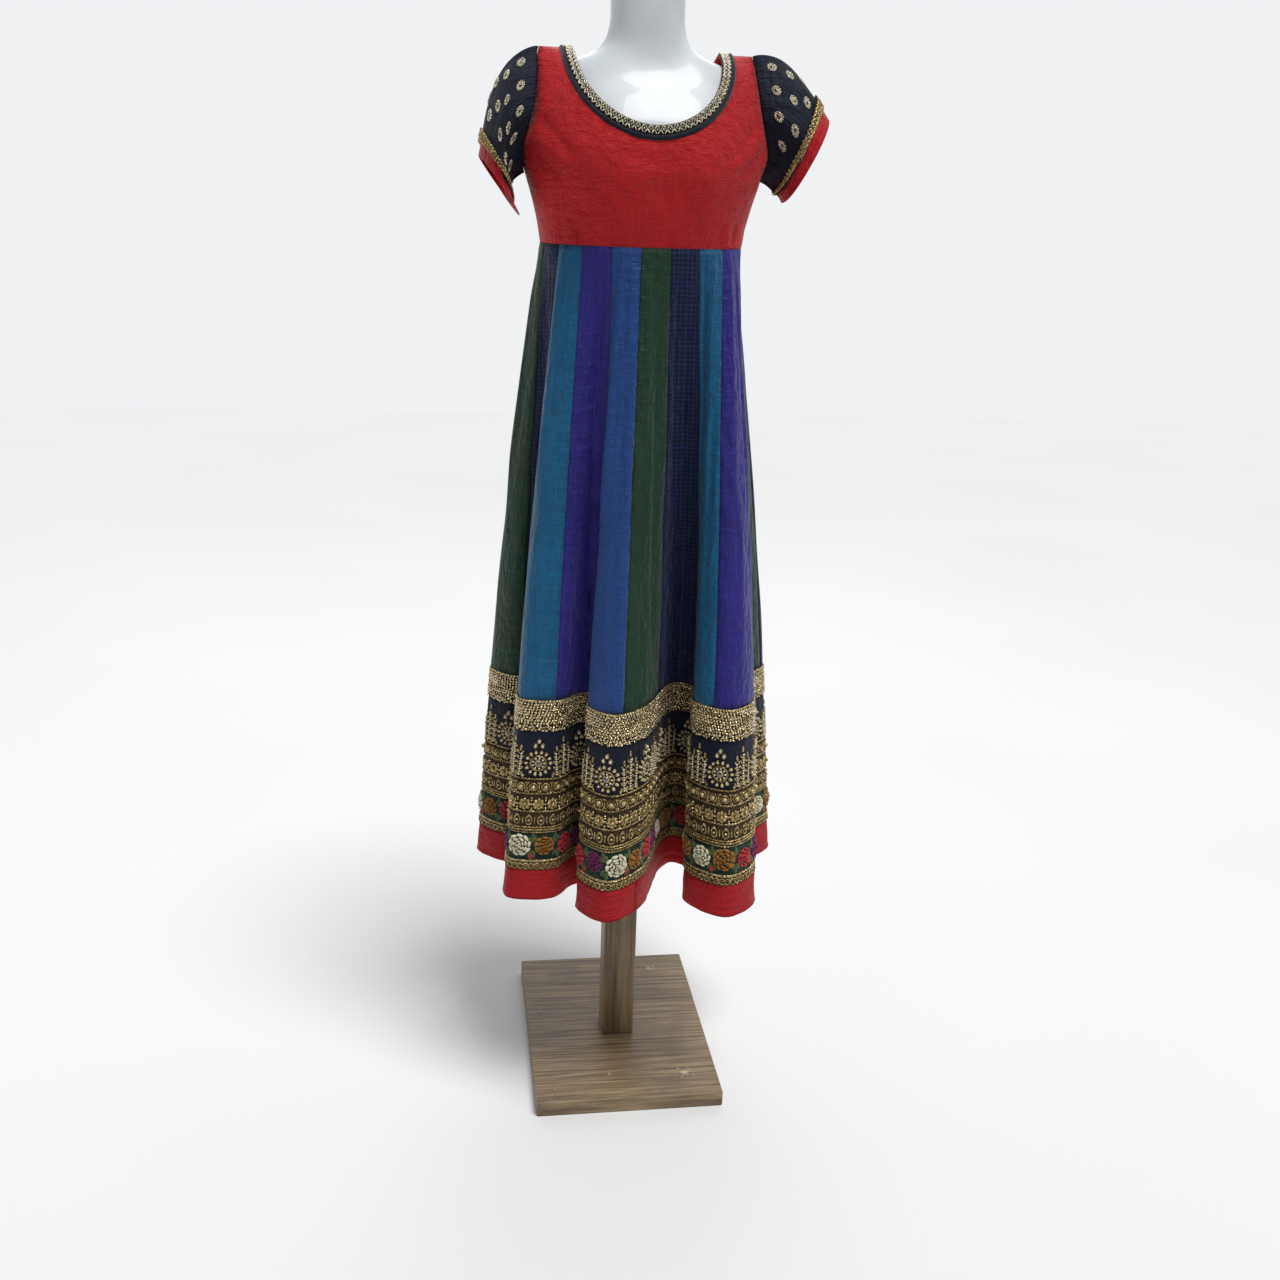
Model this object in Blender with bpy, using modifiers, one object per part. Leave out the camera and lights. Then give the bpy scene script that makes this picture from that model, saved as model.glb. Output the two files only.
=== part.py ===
"""Anarkali gown on a limbless dress form with a wooden post and board.

Metres, +Z up.  The front faces -Y, and the origin is on the underside of the board,
below the post.  A bearing is an angle in degrees about +Z: 0 is the front, 90 is +X.
"""

import math
from typing import Callable, NamedTuple

import bmesh
import bpy
from mathutils import Vector

# ---------------------------------------------------------------- driving dimensions
SEAM_GAP = 0.0003
CLOTH = 0.0014
TRIM = 0.0010
NECK_LIFT = 0.0023

BOARD_WIDTH = 0.295
BOARD_FRONT = 0.198
BOARD_BACK = 0.219
BOARD_HEIGHT = 0.025
BOARD_EDGE = 0.0015
POST_SIDE = 0.052

HEM_Z = 0.355
EMPIRE_Z = 1.305
SHOULDER_Z = 1.558
FORM_BOTTOM_Z = 1.000

NECK_HALF_WIDTH = 0.100
NECK_FRONT_DROP = 0.099
NECK_BACK_DROP = 0.050
NECK_TRIM_WIDTH = 0.012
NECK_BAND_WIDTH = 0.007
SHOULDER_HALF_WIDTH = 0.146
NECK_SHARE = 0.66

BUST_LIFT = 0.010
BUST_X = 0.074
BUST_Z = 1.412
BUST_SPREAD = 0.046
ROUNDNESS = 2.35

KALI_COUNT = 20
KALI_TURN = 0.0085
KALI_COLUMNS = 4
KALI_ROWS = 5
HIP_SWELL = 0.030
FLARE_POWER = 0.86
FOLD_CREST_SHARE = 0.138

SLEEVE_CUFF = 0.019
SLEEVE_BRAID = 0.0095
SLEEVE_COLUMNS = 24
SLEEVE_SET = 0.0009

BODICE_COLUMNS = 14
BODICE_ROWS = (0.0, 0.13, 0.25, 0.36, 0.47, 0.58, 0.73, 0.87, 0.96, 1.0)
UNDERARM_ROW = 3
SLEEVE_CROWN = 0.022
NECK_COLUMNS = 36
FORM_COLUMNS = 26


class Section(NamedTuple):
    """One level of a body: its half width, and how far it reaches to front and back."""

    z: float
    half_width: float
    front: float
    back: float


BODICE_SECTIONS = (
    Section(1.305, 0.1420, 0.1110, 0.1020),
    Section(1.333, 0.1465, 0.1180, 0.1050),
    Section(1.373, 0.1570, 0.1260, 0.1090),
    Section(1.400, 0.1650, 0.1300, 0.1110),
    Section(1.430, 0.1730, 0.1270, 0.1120),
    Section(1.460, 0.1690, 0.1170, 0.1100),
    Section(1.490, 0.1650, 0.1000, 0.1010),
    Section(1.520, 0.1590, 0.0730, 0.0820),
    Section(1.540, 0.1530, 0.0460, 0.0560),
    Section(1.552, 0.1485, 0.0200, 0.0260),
    Section(1.558, 0.1460, 0.0002, 0.0002),
)

FORM_SECTIONS = (
    Section(1.000, 0.1050, 0.0760, 0.0800),
    Section(1.006, 0.1140, 0.0840, 0.0880),
    Section(1.080, 0.1190, 0.0860, 0.0910),
    Section(1.160, 0.1130, 0.0850, 0.0870),
    Section(1.230, 0.1130, 0.0880, 0.0850),
    Section(1.305, 0.1320, 0.1030, 0.0930),
    Section(1.350, 0.1410, 0.1140, 0.0980),
    Section(1.400, 0.1540, 0.1200, 0.1010),
    Section(1.430, 0.1600, 0.1180, 0.1030),
    Section(1.460, 0.1590, 0.1080, 0.1010),
    Section(1.490, 0.1540, 0.0890, 0.0900),
    Section(1.520, 0.1440, 0.0655, 0.0710),
    Section(1.532, 0.1320, 0.0585, 0.0630),
    Section(1.540, 0.1120, 0.0550, 0.0580),
    Section(1.546, 0.0930, 0.0530, 0.0550),
    Section(1.553, 0.0760, 0.0515, 0.0530),
    Section(1.562, 0.0630, 0.0505, 0.0515),
    Section(1.578, 0.0535, 0.0500, 0.0500),
    Section(1.600, 0.0500, 0.0500, 0.0500),
    Section(1.652, 0.0500, 0.0500, 0.0500),
    Section(1.661, 0.0470, 0.0470, 0.0470),
    Section(1.664, 0.0400, 0.0400, 0.0400),
)


class ArmholeRow(NamedTuple):
    """Where the armhole edge runs at one height, as an angle from the centre line."""

    z: float
    edge_angle: float


ARMHOLE = (
    ArmholeRow(1.305, 90.0),
    ArmholeRow(1.396, 90.0),
    ArmholeRow(1.420, 80.0),
    ArmholeRow(1.460, 69.0),
    ArmholeRow(1.490, 66.0),
    ArmholeRow(1.520, 69.0),
    ArmholeRow(1.545, 79.0),
    ArmholeRow(1.558, 90.0),
)


class Turn(NamedTuple):
    """One turn of the hem's plan: a fold's crest, or the hollow between two folds."""

    crest: bool
    bearing: float
    reach: float
    axis: float
    half_width: float


HEM_TURNS = (
    Turn(True, -13.0, 0.236, -10.0, 0.047),
    Turn(False, 58.0, 0.088, 0.0, 0.023),
    Turn(True, 29.5, 0.263, 0.0, 0.054),
    Turn(False, 57.0, 0.122, 50.0, 0.018),
    Turn(True, 91.0, 0.246, 93.0, 0.044),
    Turn(False, 111.0, 0.122, 110.0, 0.019),
    Turn(True, 131.0, 0.234, 132.0, 0.046),
    Turn(False, 151.0, 0.112, 148.0, 0.021),
    Turn(True, 173.0, 0.230, 172.0, 0.049),
    Turn(False, 196.0, 0.126, 199.0, 0.018),
    Turn(True, 217.0, 0.238, 216.0, 0.045),
    Turn(False, 240.0, 0.110, 239.0, 0.022),
    Turn(True, 263.0, 0.234, 264.0, 0.046),
    Turn(False, 285.0, 0.124, 283.0, 0.019),
    Turn(True, 306.0, 0.238, 307.0, 0.048),
    Turn(False, 329.0, 0.118, 331.0, 0.021),
)
FIRST_CREST_NEXT_TO_FRONT = 2


class Band(NamedTuple):
    """One band of the skirt's border."""

    name: str
    top: float
    bottom: float
    finish: str


BORDER = (
    Band("border_gold", 0.670, 0.627, "gold"),
    Band("border_navy", 0.627, 0.549, "navy"),
    Band("border_dense_gold", 0.549, 0.465, "old_gold"),
    Band("border_roses", 0.465, 0.418, "rose_green"),
    Band("border_edging", 0.418, 0.403, "gold"),
    Band("hem_band", 0.403, 0.355, "red"),
)


class SleeveEnd(NamedTuple):
    """The open end of a sleeve: an oval with a long and a short half axis."""

    name: str
    side: float
    centre: Vector
    lean: float
    half_height: float
    half_depth: float
    puff: float


SLEEVE_ENDS = (
    SleeveEnd("right", 1.0, Vector((0.224, -0.026, 1.424)), 27.0, 0.063, 0.050, 0.006),
    SleeveEnd("left", -1.0, Vector((-0.200, -0.014, 1.378)), 37.0, 0.047, 0.064, 0.018),
)

KALI_FINISHES = ("green", "check", "teal", "violet", "blue")


class Finish(NamedTuple):
    """A plain colour for one material."""

    colour: tuple[float, float, float]
    roughness: float
    metallic: float


FINISHES = {
    "red": Finish((0.48, 0.013, 0.022), 0.55, 0.0),
    "navy": Finish((0.012, 0.016, 0.050), 0.60, 0.0),
    "check": Finish((0.010, 0.018, 0.075), 0.60, 0.0),
    "teal": Finish((0.014, 0.120, 0.230), 0.50, 0.0),
    "violet": Finish((0.052, 0.036, 0.230), 0.50, 0.0),
    "blue": Finish((0.022, 0.085, 0.270), 0.50, 0.0),
    "green": Finish((0.014, 0.052, 0.032), 0.55, 0.0),
    "gold": Finish((0.420, 0.270, 0.090), 0.40, 0.6),
    "old_gold": Finish((0.200, 0.130, 0.050), 0.45, 0.5),
    "rose_green": Finish((0.030, 0.055, 0.040), 0.65, 0.0),
    "form": Finish((0.820, 0.850, 0.880), 0.35, 0.0),
    "wood": Finish((0.170, 0.110, 0.070), 0.55, 0.0),
}

Point = Callable[[float, float], Vector]
Grid = list[list[Vector]]


# ---------------------------------------------------------------- curves and sections
def mix(first, second, share: float):
    """Straight mix of two numbers or vectors."""
    return first * (1.0 - share) + second * share


def table_value(rows, column: str, z: float) -> float:
    """Smooth value of one column of a table whose rows run upwards in z."""
    levels = [row.z for row in rows]
    values = [getattr(row, column) for row in rows]
    z = min(max(z, levels[0]), levels[-1])
    step = next(i for i in range(len(levels) - 1) if z <= levels[i + 1])

    def slope(i: int) -> float:
        if i in (0, len(levels) - 1):
            near = min(max(i, 1), len(levels) - 1)
            return (values[near] - values[near - 1]) / (levels[near] - levels[near - 1])
        below = (values[i] - values[i - 1]) / (levels[i] - levels[i - 1])
        above = (values[i + 1] - values[i]) / (levels[i + 1] - levels[i])
        if below * above <= 0.0:
            return 0.0
        return 2.0 * below * above / (below + above)

    span = levels[step + 1] - levels[step]
    s = (z - levels[step]) / span
    start = (1 + 2 * s) * (1 - s) ** 2 * values[step] + s * (1 - s) ** 2 * span * slope(step)
    end = s * s * (3 - 2 * s) * values[step + 1] + s * s * (s - 1) * span * slope(step + 1)
    return start + end


def bust(x: float, z: float) -> float:
    """Extra reach of the front at the bust."""
    across = (abs(x) - BUST_X) / BUST_SPREAD
    upwards = (z - BUST_Z) / BUST_SPREAD
    return BUST_LIFT * math.exp(-across * across - upwards * upwards)


def section_point(rows, bearing: float, z: float) -> Vector:
    """Point on a body's surface at a bearing in degrees and a height."""
    turn = math.radians(bearing)
    power = 2.0 / ROUNDNESS
    half_width = table_value(rows, "half_width", z)
    x = math.copysign(abs(math.sin(turn)) ** power, math.sin(turn)) * half_width
    share = abs(math.cos(turn)) ** power
    if math.cos(turn) >= 0.0:
        return Vector((x, -share * (table_value(rows, "front", z) + bust(x, z)), z))
    return Vector((x, share * table_value(rows, "back", z), z))


def normal_of(surface: Point, u: float, v: float, low: Vector, high: Vector) -> Vector:
    """Unit normal of a surface, from small steps that stay inside its range."""
    step = 0.004
    left = surface(max(u - step, low.x), v)
    right = surface(min(u + step, high.x), v)
    below = surface(u, max(v - step, low.y))
    above = surface(u, min(v + step, high.y))
    return (right - left).cross(above - below).normalized()


def closed_spline(points: list[Vector], count: int) -> list[Vector]:
    """Points spaced evenly along a smooth closed curve through the given points."""
    steps = 40
    fine = []
    total = len(points)
    for i in range(total):
        p0, p1, p2, p3 = (points[(i + k - 1) % total] for k in range(4))
        d1, d2, d3 = ((b - a).length ** 0.5 for a, b in ((p0, p1), (p1, p2), (p2, p3)))
        m1 = ((p1 - p0) / d1 - (p2 - p0) / (d1 + d2) + (p2 - p1) / d2) * d2
        m2 = ((p2 - p1) / d2 - (p3 - p1) / (d2 + d3) + (p3 - p2) / d3) * d2
        for k in range(steps):
            s = k / steps
            a = (1 + 2 * s) * (1 - s) ** 2 * p1 + s * (1 - s) ** 2 * m1
            fine.append(a + s * s * (3 - 2 * s) * p2 + s * s * (s - 1) * m2)
    fine.append(fine[0])
    run = [0.0]
    for before, after in zip(fine, fine[1:]):
        run.append(run[-1] + (after - before).length)
    even = []
    at = 0
    for k in range(count):
        wanted = run[-1] * k / count
        while run[at + 1] < wanted:
            at += 1
        share = (wanted - run[at]) / (run[at + 1] - run[at])
        even.append(mix(fine[at], fine[at + 1], share))
    return even


def bearing_vector(bearing: float) -> Vector:
    """Unit vector that points along a bearing."""
    return Vector((math.sin(math.radians(bearing)), -math.cos(math.radians(bearing)), 0.0))


class Loop:
    """A closed plan curve, read by the share of its length from its start."""

    COUNT = 1600

    def __init__(self, points: list[Vector], start: float):
        self.points = closed_spline(points, self.COUNT)
        self.start = start

    def at(self, share: float) -> Vector:
        """Point at a share of the length."""
        place = ((share + self.start) % 1.0) * self.COUNT
        index = int(place) % self.COUNT
        return mix(self.points[index], self.points[(index + 1) % self.COUNT], place - int(place))

    def length(self) -> float:
        """Length once round."""
        return sum((a - b).length for a, b in zip(self.points, self.points[1:] + self.points[:1]))


def waist_loop() -> Loop:
    """Plan of the empire seam, from the centre front."""
    count = 48
    ring = [section_point(BODICE_SECTIONS, 360.0 * k / count, EMPIRE_Z) for k in range(count)]
    return Loop([Vector((p.x, p.y, 0.0)) for p in ring], 0.0)


def hem_loop() -> Loop:
    """Plan of the hem: round crests and hollows joined by the walls of the folds."""
    points = []
    for turn in HEM_TURNS:
        tip = bearing_vector(turn.bearing) * turn.reach
        axis = bearing_vector(turn.axis)
        across = bearing_vector(turn.axis + 90.0)
        back = -turn.half_width if turn.crest else turn.half_width
        points.append(tip + axis * back - across * turn.half_width)
        points.append(tip)
        points.append(tip + axis * back + across * turn.half_width)
    loop = Loop(points, 0.0)
    crest = HEM_TURNS[FIRST_CREST_NEXT_TO_FRONT]
    tip = bearing_vector(crest.bearing) * crest.reach
    nearest = min(range(loop.COUNT), key=lambda k: (loop.points[k] - tip).length)
    loop.start = nearest / loop.COUNT - FOLD_CREST_SHARE - KALI_TURN
    return loop


WAIST = waist_loop()
HEM = hem_loop()


def skirt_point(share: float, z: float) -> Vector:
    """Point of the skirt's outside at a share of the way round and a height."""
    drop = (EMPIRE_Z - z) / (EMPIRE_Z - HEM_Z)
    plan = mix(WAIST.at(share), HEM.at(share), drop ** FLARE_POWER)
    swell = 1.0 + HIP_SWELL * math.sin(math.pi * drop) ** 2
    return Vector((plan.x * swell, plan.y * swell, z))


def skirt_normal(share: float, z: float) -> Vector:
    """Outward unit normal of the skirt."""
    low = Vector((share - 1.0, HEM_Z, 0.0))
    high = Vector((share + 1.0, EMPIRE_Z, 0.0))
    return normal_of(skirt_point, share, z, low, high)


def bodice_point(side: float, share: float, rise: float) -> Vector:
    """Point of the bodice: side -1 is the front, share runs across, rise runs upwards."""
    drop = NECK_FRONT_DROP if side < 0.0 else NECK_BACK_DROP
    part = abs(share)
    if part <= NECK_SHARE:
        turn = 0.5 * math.pi * part / NECK_SHARE
        top = (NECK_HALF_WIDTH * math.sin(turn), SHOULDER_Z - drop * math.cos(turn))
    else:
        along = (part - NECK_SHARE) / (1.0 - NECK_SHARE)
        top = (mix(NECK_HALF_WIDTH, SHOULDER_HALF_WIDTH, along), SHOULDER_Z)
    z = mix(EMPIRE_Z, top[1], rise)
    top_half_width = table_value(BODICE_SECTIONS, "half_width", top[1])
    top_angle = math.degrees(math.asin(min(top[0] / top_half_width, 1.0) ** (ROUNDNESS / 2)))
    edge = table_value(ARMHOLE, "edge_angle", mix(EMPIRE_Z, SHOULDER_Z, rise)) - 90.0
    angle = mix(90.0 * part, top_angle, rise) + edge * part ** 3
    bearing = angle if side < 0.0 else 180.0 - angle
    return section_point(BODICE_SECTIONS, math.copysign(bearing, share), z)


# ---------------------------------------------------------------- meshes
def material(name: str) -> bpy.types.Material:
    """The material of a finish, made once."""
    known = bpy.data.materials.get(name)
    if known:
        return known
    finish = FINISHES[name]
    made = bpy.data.materials.new(name)
    made.use_nodes = True
    shader = made.node_tree.nodes["Principled BSDF"]
    shader.inputs["Base Color"].default_value = (*finish.colour, 1.0)
    shader.inputs["Roughness"].default_value = finish.roughness
    shader.inputs["Metallic"].default_value = finish.metallic
    return made


def add_mesh(name: str, vertices: list[Vector], faces: list[tuple], finish: str) -> None:
    """Makes an object from points and faces, with its faces turned outwards."""
    mesh = bpy.data.meshes.new(name)
    mesh.from_pydata([tuple(p) for p in vertices], [], faces)
    work = bmesh.new()
    work.from_mesh(mesh)
    bmesh.ops.recalc_face_normals(work, faces=work.faces)
    work.to_mesh(mesh)
    work.free()
    mesh.materials.append(material(finish))
    bpy.data.collections[COLLECTION].objects.link(bpy.data.objects.new(name, mesh))


def add_wall(name: str, outer: Grid, inner: Grid, closed: bool, finish: str) -> None:
    """Closes the space between two like grids, which may run right round."""
    rows = len(outer)
    columns = len(outer[0])
    vertices = [p for grid in (outer, inner) for row in grid for p in row]
    offset = rows * columns
    last = columns if closed else columns - 1
    faces = []
    for r in range(rows - 1):
        for c in range(last):
            n = (c + 1) % columns
            quad = (r * columns + c, r * columns + n, (r + 1) * columns + n, (r + 1) * columns + c)
            faces.append((quad[0], quad[1], quad[2]))
            faces.append((quad[0], quad[2], quad[3]))
            faces.append(tuple(offset + k for k in (quad[2], quad[1], quad[0])))
            faces.append(tuple(offset + k for k in (quad[3], quad[2], quad[0])))
    rims = [[(r * columns + c, r * columns + (c + 1) % columns) for c in range(last)]
            for r in (0, rows - 1)]
    if not closed:
        rims += [[(r * columns + c, (r + 1) * columns + c) for r in range(rows - 1)]
                 for c in (0, columns - 1)]
    for rim in rims:
        for a, b in rim:
            faces.append((a, b, offset + b))
            faces.append((a, offset + b, offset + a))
    add_mesh(name, vertices, faces, finish)


def skirt_grids(shares: list[float], levels: list[float]) -> tuple[Grid, Grid]:
    """Outer and inner points of a piece of the skirt."""
    outer = []
    inner = []
    for z in levels:
        line = [skirt_point(share, z) for share in shares]
        outer.append(line)
        back = [p - skirt_normal(share, z) * CLOTH for p, share in zip(line, shares)]
        for p in back:
            p.z = z
        inner.append(back)
    return outer, inner


# ---------------------------------------------------------------- the gown's pieces
def add_kalis() -> None:
    """The skirt's tapered panels, from the empire seam to the border."""
    half_gap = 0.5 * SEAM_GAP
    top = EMPIRE_Z - half_gap
    bottom = BORDER[0].top + half_gap
    levels = [mix(bottom, top, r / KALI_ROWS) for r in range(KALI_ROWS + 1)]
    for index in range(KALI_COUNT):
        first = (index - 0.5) / KALI_COUNT + KALI_TURN
        shares = [first + k / (KALI_COLUMNS * KALI_COUNT) for k in range(KALI_COLUMNS + 1)]
        outer, inner = skirt_grids(shares, levels)
        for grid in (outer, inner):
            for row in grid:
                pull_in_ends(row, half_gap)
        finish = KALI_FINISHES[index % len(KALI_FINISHES)]
        add_wall(f"kali_{index + 1:02d}_{finish}", outer, inner, False, finish)


def pull_in_ends(row: list[Vector], distance: float) -> None:
    """Moves the ends of a row of points towards their neighbours, for a seam's gap."""
    row[0] += (row[1] - row[0]).normalized() * distance
    row[-1] += (row[-2] - row[-1]).normalized() * distance


def add_border() -> None:
    """The border's bands, each one ring that follows the folds."""
    count = KALI_COUNT * KALI_COLUMNS
    shares = [(k - 0.5 * KALI_COLUMNS) / count + KALI_TURN for k in range(count)]
    for band in BORDER:
        top = band.top - 0.5 * SEAM_GAP
        bottom = band.bottom if band is BORDER[-1] else band.bottom + 0.5 * SEAM_GAP
        outer, inner = skirt_grids(shares, [bottom, top])
        add_wall(band.name, outer, inner, True, band.finish)


def add_bodice(side: float, name: str) -> None:
    """Front or back of the bodice, clear of the other at the side and shoulder seams."""
    half_gap = 0.5 * SEAM_GAP
    low = Vector((-1.0, 0.0, 0.0))
    high = Vector((1.0, 1.0, 0.0))
    outer = []
    inner = []
    for rise in BODICE_ROWS:
        line = []
        back = []
        for column in range(BODICE_COLUMNS + 1):
            share = 2.0 * column / BODICE_COLUMNS - 1.0
            place = bodice_point(side, share, rise)
            out = normal_of(lambda u, v: bodice_point(side, u, v), share, rise, low, high) * -side
            line.append(keep_seams(place, side, half_gap))
            back.append(keep_seams(place - out * CLOTH, side, half_gap))
        outer.append(line)
        inner.append(back)
    add_wall(name, outer, inner, False, "red")


def keep_seams(place: Vector, side: float, half_gap: float) -> Vector:
    """Keeps a point on its own side of the seam plane and above the empire seam."""
    y = min(place.y, -half_gap) if side < 0.0 else max(place.y, half_gap)
    return Vector((place.x, y, max(place.z, EMPIRE_Z + half_gap)))


def add_neck_trims() -> None:
    """Bead trim and navy band, laid on the bodice round the neck."""
    trims = (
        ("neck_trim", 0.0, NECK_TRIM_WIDTH, "gold"),
        ("neck_band", NECK_TRIM_WIDTH + SEAM_GAP, NECK_TRIM_WIDTH + NECK_BAND_WIDTH, "navy"),
    )
    for name, near, far, finish in trims:
        under = []
        over = []
        for width in (near, far):
            places = [neck_place(k / NECK_COLUMNS, width) for k in range(NECK_COLUMNS)]
            under.append([p + n * NECK_LIFT for p, n in places])
            over.append([p + n * (NECK_LIFT + TRIM) for p, n in places])
        add_wall(name, over, under, True, finish)


def neck_place(share: float, width: float) -> tuple[Vector, Vector]:
    """Point and outward normal of the bodice, a width away from the neck's edge."""
    turn = 2.0 * math.pi * share
    side = -1.0 if math.cos(turn) >= 0.0 else 1.0
    drop = NECK_FRONT_DROP if side < 0.0 else NECK_BACK_DROP

    def place(u: float, v: float) -> Vector:
        """Point with u round the neck and v away from its edge."""
        x = (NECK_HALF_WIDTH + v) * math.sin(u)
        z = SHOULDER_Z - (drop + v) * abs(math.cos(u))
        half_width = table_value(BODICE_SECTIONS, "half_width", z)
        angle = math.degrees(math.asin(min(abs(x) / half_width, 1.0) ** (ROUNDNESS / 2)))
        bearing = angle if side < 0.0 else 180.0 - angle
        return section_point(BODICE_SECTIONS, math.copysign(bearing, x), z)

    point = place(turn, width)
    if abs(math.cos(turn)) < 1e-6:
        return Vector((point.x, 0.0, SHOULDER_Z)), Vector((0.0, 0.0, 1.0))
    near = place(turn, width - 0.001)
    left = place(turn - 0.01, width)
    right = place(turn + 0.01, width)
    out = (right - left).cross(near - point).normalized()
    if out.y * side < 0.0:
        out.negate()
    return point, out


# ---------------------------------------------------------------- sleeves
def armhole_point(side: float, share: float) -> Vector:
    """Point of the armhole's edge: share 0 is the underarm, 0.5 the shoulder."""
    face = -1.0 if share <= 0.5 else 1.0
    up = 2.0 * min(share, 1.0 - share)
    place = UNDERARM_ROW + up * (len(BODICE_ROWS) - 1 - UNDERARM_ROW)
    row = min(int(place), len(BODICE_ROWS) - 2)
    ends = [bodice_point(face, side, BODICE_ROWS[row + k]) for k in (0, 1)]
    return mix(ends[0], ends[1], place - row)


def sleeve_point(end: SleeveEnd, share: float, reach: float) -> Vector:
    """Point of a sleeve: share runs round it, reach from the armhole to the open end."""
    turn = 2.0 * math.pi * share
    start = armhole_point(end.side, share % 1.0) + Vector((end.side * SLEEVE_SET, 0.0, 0.0))
    lean = math.radians(end.lean)
    up = Vector((end.side * math.sin(lean), 0.0, math.cos(lean)))
    height = -math.cos(turn) * end.half_height
    depth = -math.sin(turn) * end.half_depth
    stop = end.centre + up * height + Vector((0.0, depth, 0.0))
    top = 0.5 - 0.5 * math.cos(turn)
    puff = Vector((end.side * end.puff, depth * 0.12, SLEEVE_CROWN * top))
    return mix(start, stop, reach) + puff * math.sin(math.pi * reach ** 0.8)


def sleeve_length(end: SleeveEnd, share: float) -> float:
    """Length of a sleeve from the armhole to its end, along one line."""
    steps = 12
    line = [sleeve_point(end, share, k / steps) for k in range(steps + 1)]
    return sum((b - a).length for a, b in zip(line, line[1:]))


def sleeve_rows(end: SleeveEnd, reaches: list[Callable[[float], float]], lift: float,
                thickness: float) -> tuple[Grid, Grid]:
    """Outer and inner rings of a piece of a sleeve, lifted off the sleeve's outside."""
    outer = []
    inner = []
    for reach_of in reaches:
        line = []
        back = []
        for column in range(SLEEVE_COLUMNS):
            share = column / SLEEVE_COLUMNS
            reach = reach_of(sleeve_length(end, share))
            place = sleeve_point(end, share, reach)
            ring = (sleeve_point(end, share + 0.01, reach) - sleeve_point(end, share - 0.01, reach))
            along = (sleeve_point(end, share, min(reach + 0.02, 1.0))
                     - sleeve_point(end, share, max(reach - 0.02, 0.0)))
            out = along.cross(ring).normalized() * end.side
            line.append(place + out * lift)
            back.append(place + out * (lift - thickness))
        outer.append(line)
        inner.append(back)
    return outer, inner


def add_sleeve(end: SleeveEnd) -> None:
    """A sleeve with its braid and its cuff."""
    edge = SLEEVE_CUFF + SLEEVE_BRAID
    rows = [lambda length, k=k: k / 3.0 * (1.0 - edge / length) for k in range(4)]
    rows.append(lambda length: 1.0 - (SLEEVE_CUFF + 0.5 * SEAM_GAP) / length)
    outer, inner = sleeve_rows(end, rows, 0.0, CLOTH)
    keep = min if end.side < 0.0 else max
    for line in (outer[0], inner[0]):
        for column, point in enumerate(line):
            edge_x = armhole_point(end.side, column / SLEEVE_COLUMNS).x
            limit = edge_x + end.side * (SLEEVE_SET - SEAM_GAP)
            point.x = keep(point.x, limit)
    add_wall(f"sleeve_{end.name}", outer, inner, True, "navy")
    outer, inner = sleeve_rows(end, rows[3:], SEAM_GAP + TRIM, TRIM)
    add_wall(f"sleeve_braid_{end.name}", outer, inner, True, "gold")
    cuff = [lambda length: 1.0 - (SLEEVE_CUFF - 0.5 * SEAM_GAP) / length, lambda length: 1.0]
    outer, inner = sleeve_rows(end, cuff, 0.0, CLOTH)
    add_wall(f"sleeve_cuff_{end.name}", outer, inner, True, "red")


# ---------------------------------------------------------------- form, post and board
def add_form() -> None:
    """The limbless torso with its neck, one smooth closed body."""
    vertices = []
    faces = []
    for row in FORM_SECTIONS:
        for column in range(FORM_COLUMNS):
            bearing = 360.0 * column / FORM_COLUMNS
            vertices.append(section_point(FORM_SECTIONS, bearing, row.z))
    for r in range(len(FORM_SECTIONS) - 1):
        for c in range(FORM_COLUMNS):
            n = (c + 1) % FORM_COLUMNS
            low, high = r * FORM_COLUMNS, (r + 1) * FORM_COLUMNS
            faces.append((low + c, low + n, high + n, high + c))
    last = (len(FORM_SECTIONS) - 1) * FORM_COLUMNS
    faces.append(tuple(reversed(range(FORM_COLUMNS))))
    faces.append(tuple(range(last, last + FORM_COLUMNS)))
    add_mesh("dress_form", vertices, faces, "form")


def add_block(name: str, low: Vector, high: Vector, edge: float) -> None:
    """A wooden block with softened edges."""
    bpy.ops.mesh.primitive_cube_add(size=1.0, location=mix(low, high, 0.5))
    block = bpy.context.object
    block.name = name
    block.data.name = name
    block.scale = high - low
    bpy.ops.object.transform_apply(location=False, rotation=False, scale=True)
    bevel = block.modifiers.new("edge", "BEVEL")
    bevel.width = edge
    bevel.segments = 1
    block.data.materials.append(material("wood"))
    for owner in block.users_collection:
        owner.objects.unlink(block)
    bpy.data.collections[COLLECTION].objects.link(block)


def add_stand() -> None:
    """The square post and the board it stands on."""
    half = 0.5 * POST_SIDE
    low = Vector((-0.5 * BOARD_WIDTH, -BOARD_FRONT, 0.0))
    high = Vector((0.5 * BOARD_WIDTH, BOARD_BACK, BOARD_HEIGHT))
    add_block("base_board", low, high, BOARD_EDGE)
    low = Vector((-half, -half, BOARD_HEIGHT + SEAM_GAP))
    high = Vector((half, half, FORM_BOTTOM_Z - SEAM_GAP))
    add_block("post", low, high, BOARD_EDGE)


COLLECTION = "anarkali_gown"


def main() -> None:
    """Builds every piece of the gown, its form and its stand."""
    for known in list(bpy.data.objects):
        bpy.data.objects.remove(known, do_unlink=True)
    collection = bpy.data.collections.new(COLLECTION)
    bpy.context.scene.collection.children.link(collection)
    add_kalis()
    add_border()
    add_bodice(-1.0, "bodice_front")
    add_bodice(1.0, "bodice_back")
    add_neck_trims()
    for end in SLEEVE_ENDS:
        add_sleeve(end)
    add_form()
    add_stand()


main()
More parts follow.
